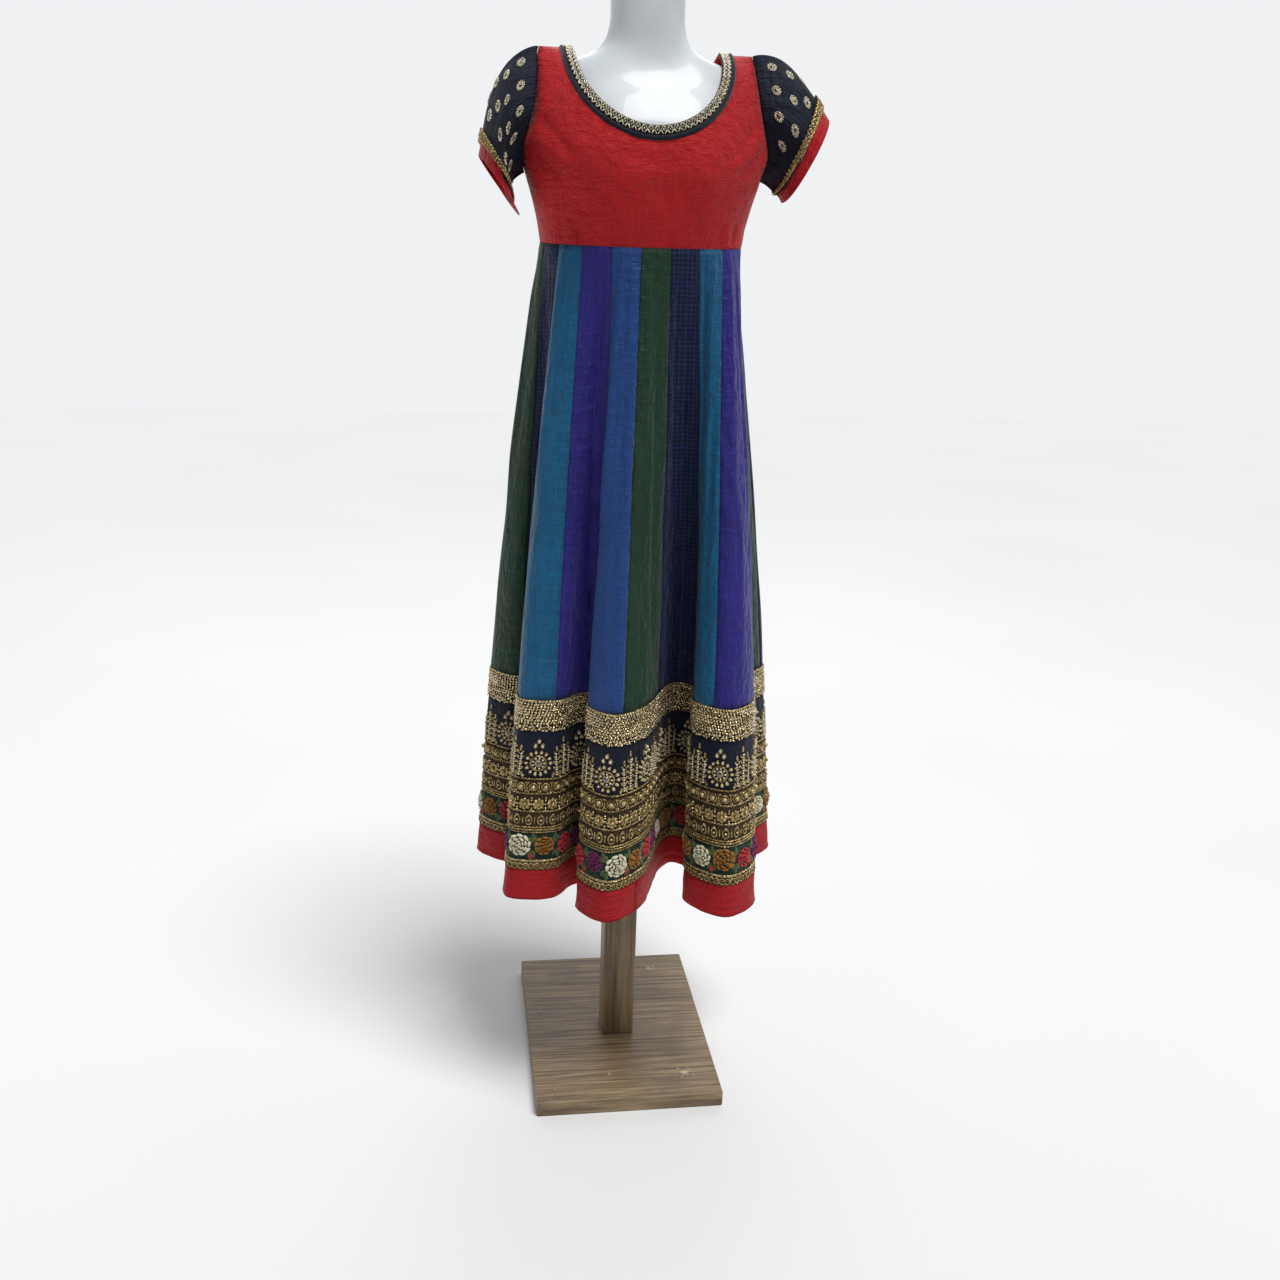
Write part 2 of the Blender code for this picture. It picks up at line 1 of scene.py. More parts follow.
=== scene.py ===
"""Looks of the anarkali gown on its dress form.

The gown is made as it is sewn: tapered kalis, a border of six bands, a bodice in two
halves, sleeves, and the trims laid on them.  Every cloth is a thin shell on a surface
that this file works out from the gown's own sizes, and every motif is modelled once and
then laid on that surface in rows.  Metres, +Z up, the front faces -Y.
"""

import logging
import math
from dataclasses import dataclass, field
from enum import Enum
from typing import Callable, Sequence

import bpy
import numpy as np
from mathutils import Matrix, Vector


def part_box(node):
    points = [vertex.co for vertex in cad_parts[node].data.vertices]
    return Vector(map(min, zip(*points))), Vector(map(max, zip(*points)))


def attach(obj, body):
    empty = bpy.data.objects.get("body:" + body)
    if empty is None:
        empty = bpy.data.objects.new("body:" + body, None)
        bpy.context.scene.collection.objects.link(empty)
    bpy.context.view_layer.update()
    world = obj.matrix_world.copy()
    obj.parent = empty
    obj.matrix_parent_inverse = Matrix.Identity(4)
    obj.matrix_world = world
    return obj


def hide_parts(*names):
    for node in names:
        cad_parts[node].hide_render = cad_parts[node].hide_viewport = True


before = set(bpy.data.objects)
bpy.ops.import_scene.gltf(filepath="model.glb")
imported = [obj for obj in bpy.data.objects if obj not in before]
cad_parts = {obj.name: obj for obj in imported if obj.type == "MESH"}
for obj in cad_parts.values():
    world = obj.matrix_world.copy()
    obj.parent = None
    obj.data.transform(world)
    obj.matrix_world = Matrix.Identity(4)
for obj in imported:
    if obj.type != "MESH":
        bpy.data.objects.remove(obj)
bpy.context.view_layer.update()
LOG = logging.getLogger("gown")
Array = np.ndarray

CLOTH = 0.0013
SEAM_GAP = 0.0003
HEM_POINTS = 2400
SKIRT_LEVELS = 160


# ------------------------------------------------------------------ small numeric tools
def smooth_column(levels: Sequence[float], values: Sequence[float], z: Array) -> Array:
    """Reads a table smoothly, with no overshoot between its rows.

    Args:
        levels: rising heights of the table's rows.
        values: the column's values.
        z: heights to read at.

    Returns:
        The column's value at each height.
    """
    x, y = np.asarray(levels, float), np.asarray(values, float)
    slope = np.diff(y) / np.diff(x)
    tangent = np.empty_like(y)
    tangent[0], tangent[-1] = slope[0], slope[-1]
    product = slope[:-1] * slope[1:]
    total = np.where(np.abs(slope[:-1] + slope[1:]) > 1e-12, slope[:-1] + slope[1:], 1.0)
    tangent[1:-1] = np.where(product > 0.0, 2.0 * product / total, 0.0)
    z = np.clip(z, x[0], x[-1])
    i = np.clip(np.searchsorted(x, z) - 1, 0, len(x) - 2)
    span = x[i + 1] - x[i]
    s = (z - x[i]) / span
    start = (1 + 2 * s) * (1 - s) ** 2 * y[i] + s * (1 - s) ** 2 * span * tangent[i]
    return start + s * s * (3 - 2 * s) * y[i + 1] + s * s * (s - 1) * span * tangent[i + 1]


def bell(value: Array, centre: float, width: float) -> Array:
    """Soft bump of height 1 about a centre."""
    return np.exp(-(((value - centre) / width) ** 2))


def step_between(value: Array, start: float, stop: float) -> Array:
    """Smooth rise from 0 at start to 1 at stop."""
    s = np.clip((value - start) / (stop - start), 0.0, 1.0)
    return s * s * (3.0 - 2.0 * s)


def ripple(u: Array, v: Array, seed: float) -> Array:
    """Slow uneven waviness between about -1 and 1, the same on every run."""
    total = np.sin(3.1 * u + 1.7 * v + seed) + np.sin(5.3 * u - 2.9 * v + 2.1 * seed)
    return (total + np.sin(8.7 * u + 4.1 * v + 3.7 * seed) * 0.6) / 2.6


# ------------------------------------------------------------------ the gown's surfaces
class Patch:
    """A cloth surface sampled on a grid, read anywhere between its samples."""

    def __init__(self, points: Array, closed: bool, flip: float = 1.0) -> None:
        """Keeps the points and works out their outward normals.

        Args:
            points: rows by columns by 3; a closed patch repeats no column.
            closed: whether the last column meets the first.
            flip: 1 or -1, which turns the normals outwards.
        """
        self.closed = closed
        grid = np.concatenate([points, points[:, :1]], axis=1) if closed else points
        across = np.gradient(grid, axis=1)
        if closed:
            across[:, 0] = across[:, -1] = 0.5 * (grid[:, 1] - grid[:, -2])
        normal = np.cross(across, np.gradient(grid, axis=0)) * flip
        normal /= np.maximum(np.linalg.norm(normal, axis=2, keepdims=True), 1e-12)
        self.grid = np.concatenate([grid, normal], axis=2)

    def read(self, u: Array, v: Array) -> tuple[Array, Array]:
        """Points and unit normals at shares across and up the patch.

        Args:
            u: shares across the patch.
            v: shares up the patch.

        Returns:
            The points, and their outward unit normals.
        """
        rows, columns = self.grid.shape[:2]
        u = u % 1.0 if self.closed else np.clip(u, 0.0, 1.0)
        x, y = u * (columns - 1), np.clip(v, 0.0, 1.0) * (rows - 1)
        c, r = np.minimum(x.astype(int), columns - 2), np.minimum(y.astype(int), rows - 2)
        s, t = (x - c)[..., None], (y - r)[..., None]
        low = self.grid[r, c] * (1 - s) + self.grid[r, c + 1] * s
        high = self.grid[r + 1, c] * (1 - s) + self.grid[r + 1, c + 1] * s
        both = low * (1 - t) + high * t
        normal = both[..., 3:]
        length = np.maximum(np.linalg.norm(normal, axis=-1, keepdims=True), 1e-9)
        return both[..., :3], normal / length

    def run(self, v: float, samples: int = 1200) -> float:
        """Length once across the patch at a share of its height."""
        points = self.read(np.linspace(0.0, 0.999999, samples), np.full(samples, v))[0]
        return float(np.linalg.norm(np.diff(points, axis=0), axis=1).sum())


@dataclass(frozen=True)
class Turn:
    """One turn of the hem's plan: a fold's crest, or the hollow between two folds."""

    crest: bool
    bearing: float
    reach: float
    axis: float
    half_width: float


HEM_TURNS = (
    Turn(True, -13.0, 0.236, -10.0, 0.047),
    Turn(False, 58.0, 0.088, 0.0, 0.023),
    Turn(True, 29.5, 0.263, 0.0, 0.054),
    Turn(False, 57.0, 0.122, 50.0, 0.018),
    Turn(True, 91.0, 0.246, 93.0, 0.044),
    Turn(False, 111.0, 0.122, 110.0, 0.019),
    Turn(True, 131.0, 0.234, 132.0, 0.046),
    Turn(False, 151.0, 0.112, 148.0, 0.021),
    Turn(True, 173.0, 0.230, 172.0, 0.049),
    Turn(False, 196.0, 0.126, 199.0, 0.018),
    Turn(True, 217.0, 0.238, 216.0, 0.045),
    Turn(False, 240.0, 0.110, 239.0, 0.022),
    Turn(True, 263.0, 0.234, 264.0, 0.046),
    Turn(False, 285.0, 0.124, 283.0, 0.019),
    Turn(True, 306.0, 0.238, 307.0, 0.048),
    Turn(False, 329.0, 0.118, 331.0, 0.021),
)

# height, half width, reach to the front, reach to the back
BODICE_SECTIONS = np.array([
    (1.305, 0.1420, 0.1110, 0.1020),
    (1.333, 0.1465, 0.1180, 0.1050),
    (1.373, 0.1570, 0.1260, 0.1090),
    (1.400, 0.1650, 0.1300, 0.1110),
    (1.430, 0.1730, 0.1270, 0.1120),
    (1.460, 0.1690, 0.1170, 0.1100),
    (1.490, 0.1650, 0.1000, 0.1010),
    (1.520, 0.1590, 0.0730, 0.0820),
    (1.540, 0.1530, 0.0460, 0.0560),
    (1.552, 0.1485, 0.0200, 0.0260),
    (1.558, 0.1460, 0.0002, 0.0002),
])

FORM_SECTIONS = np.array([
    (1.000, 0.1050, 0.0760, 0.0800),
    (1.006, 0.1140, 0.0840, 0.0880),
    (1.080, 0.1190, 0.0860, 0.0910),
    (1.160, 0.1130, 0.0850, 0.0870),
    (1.230, 0.1130, 0.0880, 0.0850),
    (1.305, 0.1320, 0.1030, 0.0930),
    (1.350, 0.1410, 0.1140, 0.0980),
    (1.400, 0.1540, 0.1200, 0.1010),
    (1.430, 0.1600, 0.1180, 0.1030),
    (1.460, 0.1590, 0.1080, 0.1010),
    (1.490, 0.1540, 0.0890, 0.0900),
    (1.520, 0.1440, 0.0655, 0.0710),
    (1.532, 0.1320, 0.0585, 0.0630),
    (1.540, 0.1120, 0.0550, 0.0580),
    (1.546, 0.0930, 0.0530, 0.0550),
    (1.553, 0.0760, 0.0515, 0.0530),
    (1.562, 0.0630, 0.0505, 0.0515),
    (1.578, 0.0535, 0.0500, 0.0500),
    (1.600, 0.0500, 0.0500, 0.0500),
    (1.652, 0.0500, 0.0500, 0.0500),
    (1.661, 0.0470, 0.0470, 0.0470),
    (1.664, 0.0400, 0.0400, 0.0400),
])

# height, angle of the armhole's edge from the centre line
ARMHOLE = np.array([
    (1.305, 90.0), (1.396, 90.0), (1.420, 80.0), (1.460, 69.0),
    (1.490, 66.0), (1.520, 69.0), (1.545, 79.0), (1.558, 90.0),
])


@dataclass(frozen=True)
class Sizes:
    """The gown's cut, in metres."""

    hem: float = 0.355
    empire: float = 1.305
    shoulder: float = 1.558
    neck_half_width: float = 0.100
    neck_front_drop: float = 0.099
    neck_back_drop: float = 0.050
    shoulder_half_width: float = 0.146
    neck_share: float = 0.66
    underarm_rise: float = 0.36
    bust_lift: float = 0.010
    bust_x: float = 0.074
    bust_z: float = 1.412
    bust_spread: float = 0.046
    roundness: float = 2.35
    kalis: int = 20
    kali_turn: float = 0.0085
    first_crest_share: float = 0.138
    medallion_share: float = 0.1317
    first_crest_turn: int = 2
    hip_swell: float = 0.030
    drop_power: float = 0.86


CUT = Sizes()


def section_points(rows: Array, bearing: Array, z: Array) -> Array:
    """Points of a body's surface at bearings in degrees and heights.

    Args:
        rows: a table of sections: height, half width, reach to the front and the back.
        bearing: degrees from the front, positive towards +X.
        z: heights.

    Returns:
        The points, with a last axis of 3.
    """
    power = 2.0 / CUT.roundness
    turn = np.radians(bearing)
    sine, cosine = np.sin(turn), np.cos(turn)
    x = np.sign(sine) * np.abs(sine) ** power * smooth_column(rows[:, 0], rows[:, 1], z)
    across = (np.abs(x) - CUT.bust_x) / CUT.bust_spread
    upwards = (z - CUT.bust_z) / CUT.bust_spread
    bust = CUT.bust_lift * np.exp(-across ** 2 - upwards ** 2)
    front = -(smooth_column(rows[:, 0], rows[:, 2], z) + bust)
    reach = np.where(cosine >= 0.0, front, smooth_column(rows[:, 0], rows[:, 3], z))
    return np.stack([x, np.abs(cosine) ** power * reach, z + 0.0 * x], axis=-1)


def bearing_at(x: Array, z: Array, side: float) -> Array:
    """Bearing of the bodice's surface at a distance from the centre line and a height.

    Args:
        x: distances from the centre line, signed.
        z: heights.
        side: -1 for the front, 1 for the back.

    Returns:
        The bearings in degrees.
    """
    half_width = smooth_column(BODICE_SECTIONS[:, 0], BODICE_SECTIONS[:, 1], z)
    share = np.clip(np.abs(x) / half_width, 0.0, 1.0)
    angle = np.degrees(np.arcsin(share ** (CUT.roundness / 2)))
    return np.where(x < 0.0, -1.0, 1.0) * (angle if side < 0.0 else 180.0 - angle)


def closed_spline(points: Array, count: int) -> Array:
    """Even points along a smooth closed curve through the given points.

    Args:
        points: the plan points to pass through.
        count: how many points to give back.

    Returns:
        The points, at even lengths along the curve.
    """
    fine = []
    steps = np.linspace(0.0, 1.0, 40, endpoint=False)[:, None]
    for i in range(len(points)):
        p0, p1, p2, p3 = (points[(i + k - 1) % len(points)] for k in range(4))
        d1, d2, d3 = (np.linalg.norm(b - a) ** 0.5 for a, b in ((p0, p1), (p1, p2), (p2, p3)))
        m1 = ((p1 - p0) / d1 - (p2 - p0) / (d1 + d2) + (p2 - p1) / d2) * d2
        m2 = ((p2 - p1) / d2 - (p3 - p1) / (d2 + d3) + (p3 - p2) / d3) * d2
        s = steps
        start = (1 + 2 * s) * (1 - s) ** 2 * p1 + s * (1 - s) ** 2 * m1
        fine.append(start + s * s * (3 - 2 * s) * p2 + s * s * (s - 1) * m2)
    line = np.concatenate(fine + [fine[0][:1]])
    run = np.concatenate([[0.0], np.cumsum(np.linalg.norm(np.diff(line, axis=0), axis=1))])
    wanted = np.arange(count) * run[-1] / count
    return np.stack([np.interp(wanted, run, line[:, k]) for k in range(2)], axis=1)


def heading(bearing: float) -> Array:
    """Plan direction of a bearing."""
    return np.array([math.sin(math.radians(bearing)), -math.cos(math.radians(bearing))])


def skirt_patch() -> Patch:
    """The skirt's outside, from the hem up to the empire seam, once round.

    Returns:
        The patch: a share of 0 lies on a seam, and a share of 1 up is the empire seam.
    """
    count = HEM_POINTS
    ring = section_points(BODICE_SECTIONS, np.arange(48) * 7.5, np.full(48, CUT.empire))
    waist = closed_spline(ring[:, :2], count)
    turns = []
    for turn in HEM_TURNS:
        tip = heading(turn.bearing) * turn.reach
        across = heading(turn.axis + 90.0) * turn.half_width
        back = heading(turn.axis) * (-turn.half_width if turn.crest else turn.half_width)
        turns += [tip + back - across, tip, tip + back + across]
    hem = closed_spline(np.array(turns), count)
    crest = HEM_TURNS[CUT.first_crest_turn]
    distance = np.linalg.norm(hem - heading(crest.bearing) * crest.reach, axis=1)
    start = int(distance.argmin()) - (CUT.first_crest_share + CUT.kali_turn) * count
    index = (np.arange(count) + start) % count
    low = index.astype(int)
    part = (index - low)[:, None]
    hem = hem[low] * (1 - part) + hem[(low + 1) % count] * part
    z = np.linspace(CUT.hem, CUT.empire, SKIRT_LEVELS)[:, None, None]
    drop = (CUT.empire - z) / (CUT.empire - CUT.hem)
    plan = waist[None] * (1 - drop ** CUT.drop_power) + hem[None] * drop ** CUT.drop_power
    plan = plan * (1.0 + CUT.hip_swell * np.sin(np.pi * drop) ** 2)
    return Patch(np.concatenate([plan, np.broadcast_to(z, plan.shape[:2] + (1,))], axis=2), True)


def bodice_points(side: float, share: Array, rise: Array) -> Array:
    """Points of the bodice: side -1 is the front, share runs across, rise upwards.

    Args:
        side: -1 for the front, 1 for the back.
        share: -1 at one side seam to 1 at the other.
        rise: 0 at the empire seam to 1 at the neck and shoulder.

    Returns:
        The points, with a last axis of 3.
    """
    part = np.abs(share)
    drop = CUT.neck_front_drop if side < 0.0 else CUT.neck_back_drop
    turn = 0.5 * np.pi * np.minimum(part / CUT.neck_share, 1.0)
    along = np.clip((part - CUT.neck_share) / (1.0 - CUT.neck_share), 0.0, 1.0)
    spread = CUT.shoulder_half_width - CUT.neck_half_width
    top_x = CUT.neck_half_width * np.sin(turn) + spread * along
    top_z = CUT.shoulder - drop * np.cos(turn)
    z = CUT.empire * (1 - rise) + top_z * rise
    top_angle = np.abs(bearing_at(top_x, top_z, -1.0))
    height = CUT.empire * (1 - rise) + CUT.shoulder * rise
    edge = smooth_column(ARMHOLE[:, 0], ARMHOLE[:, 1], height) - 90.0
    angle = 90.0 * part * (1 - rise) + top_angle * rise + edge * part ** 3
    bearing = np.where(share < 0.0, -1.0, 1.0) * (angle if side < 0.0 else 180.0 - angle)
    return section_points(BODICE_SECTIONS, bearing, z)


def bodice_patch(side: float) -> Patch:
    """One half of the bodice as a patch."""
    share, rise = np.meshgrid(np.linspace(-1.0, 1.0, 241), np.linspace(0.0, 1.0, 161))
    return Patch(bodice_points(side, share, rise), False, -side)


def neck_patch(width: float) -> Patch:
    """The bodice round the neck: once round, and up to a width away from the edge.

    Args:
        width: how far from the neck's edge it reaches.

    Returns:
        The patch.
    """
    turn, away = np.meshgrid(2 * np.pi * np.arange(720) / 720, np.linspace(0.0, width, 13))
    front = np.cos(turn) >= 0.0
    drop = np.where(front, CUT.neck_front_drop, CUT.neck_back_drop)
    x = (CUT.neck_half_width + away) * np.sin(turn)
    z = CUT.shoulder - (drop + away) * np.abs(np.cos(turn))
    bearing = np.where(front, bearing_at(x, z, -1.0), bearing_at(x, z, 1.0))
    return Patch(section_points(BODICE_SECTIONS, bearing, z), True, -1.0)


# ------------------------------------------------------------------ finishes
class Pattern(Enum):
    """What is woven into a silk."""

    PLAIN = "plain"
    SLUB = "slub"
    CHECK = "check"
    QUILTED = "quilted"


class Graph:
    """A short way to write a material's nodes."""

    def __init__(self, name: str) -> None:
        """Starts a material with one Principled shader.

        Args:
            name: the material's name.
        """
        self.material = bpy.data.materials.new(name)
        self.material.use_nodes = True
        self.tree = self.material.node_tree
        self.shader = self.tree.nodes["Principled BSDF"]

    def node(self, kind: str, **values: object) -> bpy.types.Node:
        """Adds a node; a value is set on a property, an input, or linked from a socket.

        Args:
            kind: the node's type.
            **values: its properties and inputs.

        Returns:
            The node.
        """
        made = self.tree.nodes.new(kind)
        for key, value in values.items():
            name = key.replace("_", " ").title() if not hasattr(made, key) else key
            if hasattr(made, key) and not isinstance(value, bpy.types.NodeSocket):
                setattr(made, key, value)
            else:
                self.put(made.inputs[name], value)
        return made

    def put(self, socket: bpy.types.NodeSocket, value: object) -> None:
        """Links a socket to another, or sets its own value.

        Args:
            socket: the input.
            value: a socket, a colour or a number.
        """
        if isinstance(value, bpy.types.NodeSocket):
            self.tree.links.new(value, socket)
        elif isinstance(value, tuple) and len(value) == 3 and socket.type == "RGBA":
            socket.default_value = (*value, 1.0)
        else:
            socket.default_value = value

    def noise(self, vector: bpy.types.NodeSocket, scale: float, detail: float = 2.0,
              rough: float = 0.5) -> bpy.types.NodeSocket:
        """Noise between about 0.3 and 0.7.

        Args:
            vector: where to read it.
            scale: its fineness.
            detail: how many finer layers it has.
            rough: how strong they are.

        Returns:
            The socket of its value.
        """
        made = self.node("ShaderNodeTexNoise")
        self.put(made.inputs["Vector"], vector)
        self.put(made.inputs["Scale"], scale)
        self.put(made.inputs["Detail"], detail)
        self.put(made.inputs["Roughness"], rough)
        return made.outputs["Fac"]

    def mapped(self, source: str, scale: tuple[float, float, float]) -> bpy.types.NodeSocket:
        """Object or UV coordinates, scaled.

        Args:
            source: Object or UV.
            scale: how much each axis is stretched.

        Returns:
            The socket of the scaled place.
        """
        place = self.node("ShaderNodeTexCoord").outputs[source]
        made = self.node("ShaderNodeMapping")
        self.put(made.inputs["Vector"], place)
        made.inputs["Scale"].default_value = scale
        return made.outputs["Vector"]

    def ramp(self, value: bpy.types.NodeSocket, stops: Sequence[tuple]) -> bpy.types.NodeSocket:
        """Colour ramp through (place, colour) stops.

        Args:
            value: what is read.
            stops: places from 0 to 1, each with its colour.

        Returns:
            The socket of the colour.
        """
        made = self.node("ShaderNodeValToRGB")
        self.put(made.inputs["Fac"], value)
        ramp = made.color_ramp
        while len(ramp.elements) < len(stops):
            ramp.elements.new(0.5)
        for element, (place, colour) in zip(ramp.elements, stops):
            element.position = place
            element.color = (*colour, 1.0)
        return made.outputs["Color"]

    def maths(self, operation: str, first: object, second: object = 0.0) -> bpy.types.NodeSocket:
        """One sum of two numbers.

        Args:
            operation: its name.
            first: a number or socket.
            second: a number or socket.

        Returns:
            The socket of the result.
        """
        made = self.node("ShaderNodeMath", operation=operation)
        self.put(made.inputs[0], first)
        self.put(made.inputs[1], second)
        return made.outputs[0]

    def blend(self, share: object, first: object, second: object,
              mode: str = "MIX") -> bpy.types.NodeSocket:
        """Mix of two colours.

        Args:
            share: how much of the second is used.
            first: a colour.
            second: a colour.
            mode: how they are mixed.

        Returns:
            The socket of the colour.
        """
        made = self.node("ShaderNodeMix", data_type="RGBA", blend_type=mode)
        self.put(made.inputs[0], share)
        self.put(made.inputs[6], first)
        self.put(made.inputs[7], second)
        return made.outputs[2]

    def bump(self, height: bpy.types.NodeSocket, distance: float, strength: float = 1.0,
             after: object = None) -> bpy.types.NodeSocket:
        """Bump from a height, on top of another bump if one is given.

        Args:
            height: the relief.
            distance: its depth in metres.
            strength: how much of it is used.
            after: a bump that lies under it.

        Returns:
            The socket of the normal.
        """
        made = self.node("ShaderNodeBump")
        made.inputs["Distance"].default_value = distance
        made.inputs["Strength"].default_value = strength
        self.put(made.inputs["Height"], height)
        if after is not None:
            self.put(made.inputs["Normal"], after)
        return made.outputs["Normal"]

    def finish(self, colour: object, normal: object, roughness: float, metallic: float = 0.0,
               sheen: float = 0.0, coat: float = 0.0) -> bpy.types.Material:
        """Sets the shader's sockets and hands over the material.

        Args:
            colour: a colour or socket.
            normal: a bump, or None.
            roughness: the shader's roughness.
            metallic: how metallic it is.
            sheen: the nap's strength.
            coat: the clear coat's strength.

        Returns:
            The material.
        """
        inputs = self.shader.inputs
        self.put(inputs["Base Color"], colour)
        if normal is not None:
            self.put(inputs["Normal"], normal)
        inputs["Roughness"].default_value = roughness
        inputs["Metallic"].default_value = metallic
        inputs["Sheen Weight"].default_value = sheen
        inputs["Sheen Roughness"].default_value = 0.4
        inputs["Coat Weight"].default_value = coat
        inputs["Specular IOR Level"].default_value = 0.22 if sheen > 0.0 else 0.5
        return self.material


def linear(red: int, green: int, blue: int) -> tuple[float, float, float]:
    """Linear colour from a dyer's 0 to 255 colour."""
    return tuple((c / 12.92 if c <= 0.04045 else ((c + 0.055) / 1.055) ** 2.4)
                 for c in (red / 255, green / 255, blue / 255))


def shade(colour: Sequence[float], amount: float) -> tuple[float, float, float]:
    """A colour made lighter or darker."""
    return tuple(min(c * amount, 1.0) for c in colour)


@dataclass(frozen=True)
class Silk:
    """A woven silk, read along its own UV map in metres."""

    name: str
    colour: tuple[float, float, float]
    pattern: Pattern = Pattern.PLAIN
    line: tuple[float, float, float] = (0.0, 0.0, 0.0)
    roughness: float = 0.52
    sheen: float = 0.10
    streak: float = 0.22
    wrinkle: float = 0.45
    check_pitch: tuple[float, float] = (0.0065, 0.0062)
    dot_pitch: float = 0.00155
    stitch_row: float = 0.0062
    stitch_pitch: float = 0.0038

    def make(self) -> bpy.types.Material:
        """Builds the material: uneven threads, weave bump, and slubs or checks.

        Returns:
            The material.
        """
        g = Graph(self.name)
        cloud = g.noise(g.mapped("UV", (9.0, 9.0, 1.0)), 1.0, 3.0)
        warp = g.noise(g.mapped("UV", (620.0, 14.0, 1.0)), 1.0, 2.0)
        weft = g.noise(g.mapped("UV", (16.0, 900.0, 1.0)), 1.0, 2.0)
        threads = g.maths("ADD", g.maths("MULTIPLY", warp, 0.5), g.maths("MULTIPLY", weft, 0.5))
        mixed = g.maths("ADD", g.maths("MULTIPLY", threads, 0.75), g.maths("MULTIPLY", cloud, 0.25))
        dark, light = shade(self.colour, 1.0 - self.streak), shade(self.colour, 1.0 + self.streak)
        colour = g.ramp(mixed, ((0.36, dark), (0.64, light)))
        height = threads
        depth = 0.0005
        if self.pattern is Pattern.SLUB:
            slub = g.noise(g.mapped("UV", (85.0, 560.0, 1.0)), 1.0, 3.0, 0.62)
            ridge = g.ramp(slub, ((0.50, (0.0, 0.0, 0.0)), (0.66, (1.0, 1.0, 1.0))))
            colour = g.blend(g.maths("MULTIPLY", ridge, 0.42), colour, shade(self.colour, 1.5))
            height = g.maths("ADD", g.maths("MULTIPLY", weft, 0.5), ridge)
            depth = 0.0012
        if self.pattern is Pattern.CHECK:
            colour = self.check(g, colour)
        if self.pattern is Pattern.QUILTED:
            colour = self.quilt(g, colour)
        run = {Pattern.QUILTED: (20.0, 150.0, 1.0), Pattern.SLUB: (62.0, 58.0, 1.0)}
        crumple = g.noise(g.mapped("UV", run.get(self.pattern, (95.0, 30.0, 1.0))), 1.0, 4.0, 0.6)
        cross = g.noise(g.mapped("UV", (26.0, 110.0, 1.0)), 1.0, 3.0, 0.6)
        crumple = g.maths("ADD", crumple, g.maths("MULTIPLY", cross, self.wrinkle))
        normal = g.bump(height, depth, 0.8, g.bump(crumple, 0.0100, 0.9))
        return g.finish(colour, normal, self.roughness, sheen=self.sheen)

    def check(self, g: Graph, ground: bpy.types.NodeSocket) -> bpy.types.NodeSocket:
        """Windowpane check of dotted lines, about 6.5 mm apart.

        Args:
            g: the material's graph.
            ground: the colour of the cloth under it.
        """
        split = g.node("ShaderNodeSeparateXYZ")
        g.put(split.inputs[0], g.mapped("UV", (1.0, 1.0, 1.0)))
        lines = []
        for axis, pitch in enumerate(self.check_pitch):
            wave = g.maths("FRACT", g.maths("DIVIDE", split.outputs[axis], pitch))
            off = g.maths("ABSOLUTE", g.maths("SUBTRACT", wave, 0.5))
            dots = g.maths("FRACT", g.maths("DIVIDE", split.outputs[1 - axis], self.dot_pitch))
            line = g.maths("LESS_THAN", off, 0.085)
            lines.append(g.maths("MULTIPLY", line, g.maths("GREATER_THAN", dots, 0.42)))
        both = g.maths("MAXIMUM", lines[0], lines[1])
        return g.blend(both, ground, self.line)

    def quilt(self, g: Graph, ground: bpy.types.NodeSocket) -> bpy.types.NodeSocket:
        """Rows of small running stitches, 6.2 mm apart.

        Args:
            g: the material's graph.
            ground: the colour of the cloth under it.

        Returns:
            The colour with the stitches on it.
        """
        split = g.node("ShaderNodeSeparateXYZ")
        g.put(split.inputs[0], g.mapped("UV", (1.0, 1.0, 1.0)))
        level = g.maths("DIVIDE", split.outputs[1], self.stitch_row)
        row = g.maths("FRACT", level)
        off = g.maths("ABSOLUTE", g.maths("SUBTRACT", row, 0.5))
        turn = g.maths("FLOOR", level)
        run = g.maths("ADD", g.maths("DIVIDE", split.outputs[0], self.stitch_pitch),
                      g.maths("MULTIPLY", turn, 0.377))
        dash = g.maths("FRACT", run)
        stitch = g.maths("MULTIPLY", g.maths("LESS_THAN", off, 0.075),
                         g.maths("GREATER_THAN", dash, 0.34))
        return g.blend(g.maths("MULTIPLY", stitch, 0.32), ground, self.line)


@dataclass(frozen=True)
class Metal:
    """Gold or silver thread, beads and sequins, on Object coordinates."""

    name: str
    dark: tuple[float, float, float]
    light: tuple[float, float, float]
    roughness: float = 0.34
    metallic: float = 0.85
    grain: float = 420.0

    def make(self) -> bpy.types.Material:
        """Builds the material with its patches of tarnish and a fine twist.

        Returns:
            The material.
        """
        g = Graph(self.name)
        place = g.mapped("Object", (1.0, 1.0, 1.0))
        patches = g.noise(place, self.grain, 2.0)
        colour = g.ramp(patches, ((0.34, self.dark), (0.62, self.light)))
        twist = g.noise(g.mapped("Object", (1.0, 1.0, 2.6)), self.grain * 2.4, 1.0)
        return g.finish(colour, g.bump(twist, 0.0005, 0.6), self.roughness, self.metallic)


@dataclass(frozen=True)
class Yarn:
    """Embroidery yarn: matt, with the fine relief of satin stitch."""

    name: str
    colour: tuple[float, float, float]
    deep: float = 0.45

    def make(self) -> bpy.types.Material:
        """Builds the material.

        Returns:
            The material.
        """
        g = Graph(self.name)
        tone = g.noise(g.mapped("Object", (1.0, 1.0, 1.0)), 330.0, 2.0)
        colour = g.ramp(tone, ((0.33, shade(self.colour, self.deep)), (0.60, self.colour)))
        stitch = g.noise(g.mapped("Object", (1.0, 1.0, 0.35)), 1500.0, 1.0)
        return g.finish(colour, g.bump(stitch, 0.0008, 0.9), 0.72, sheen=0.35)


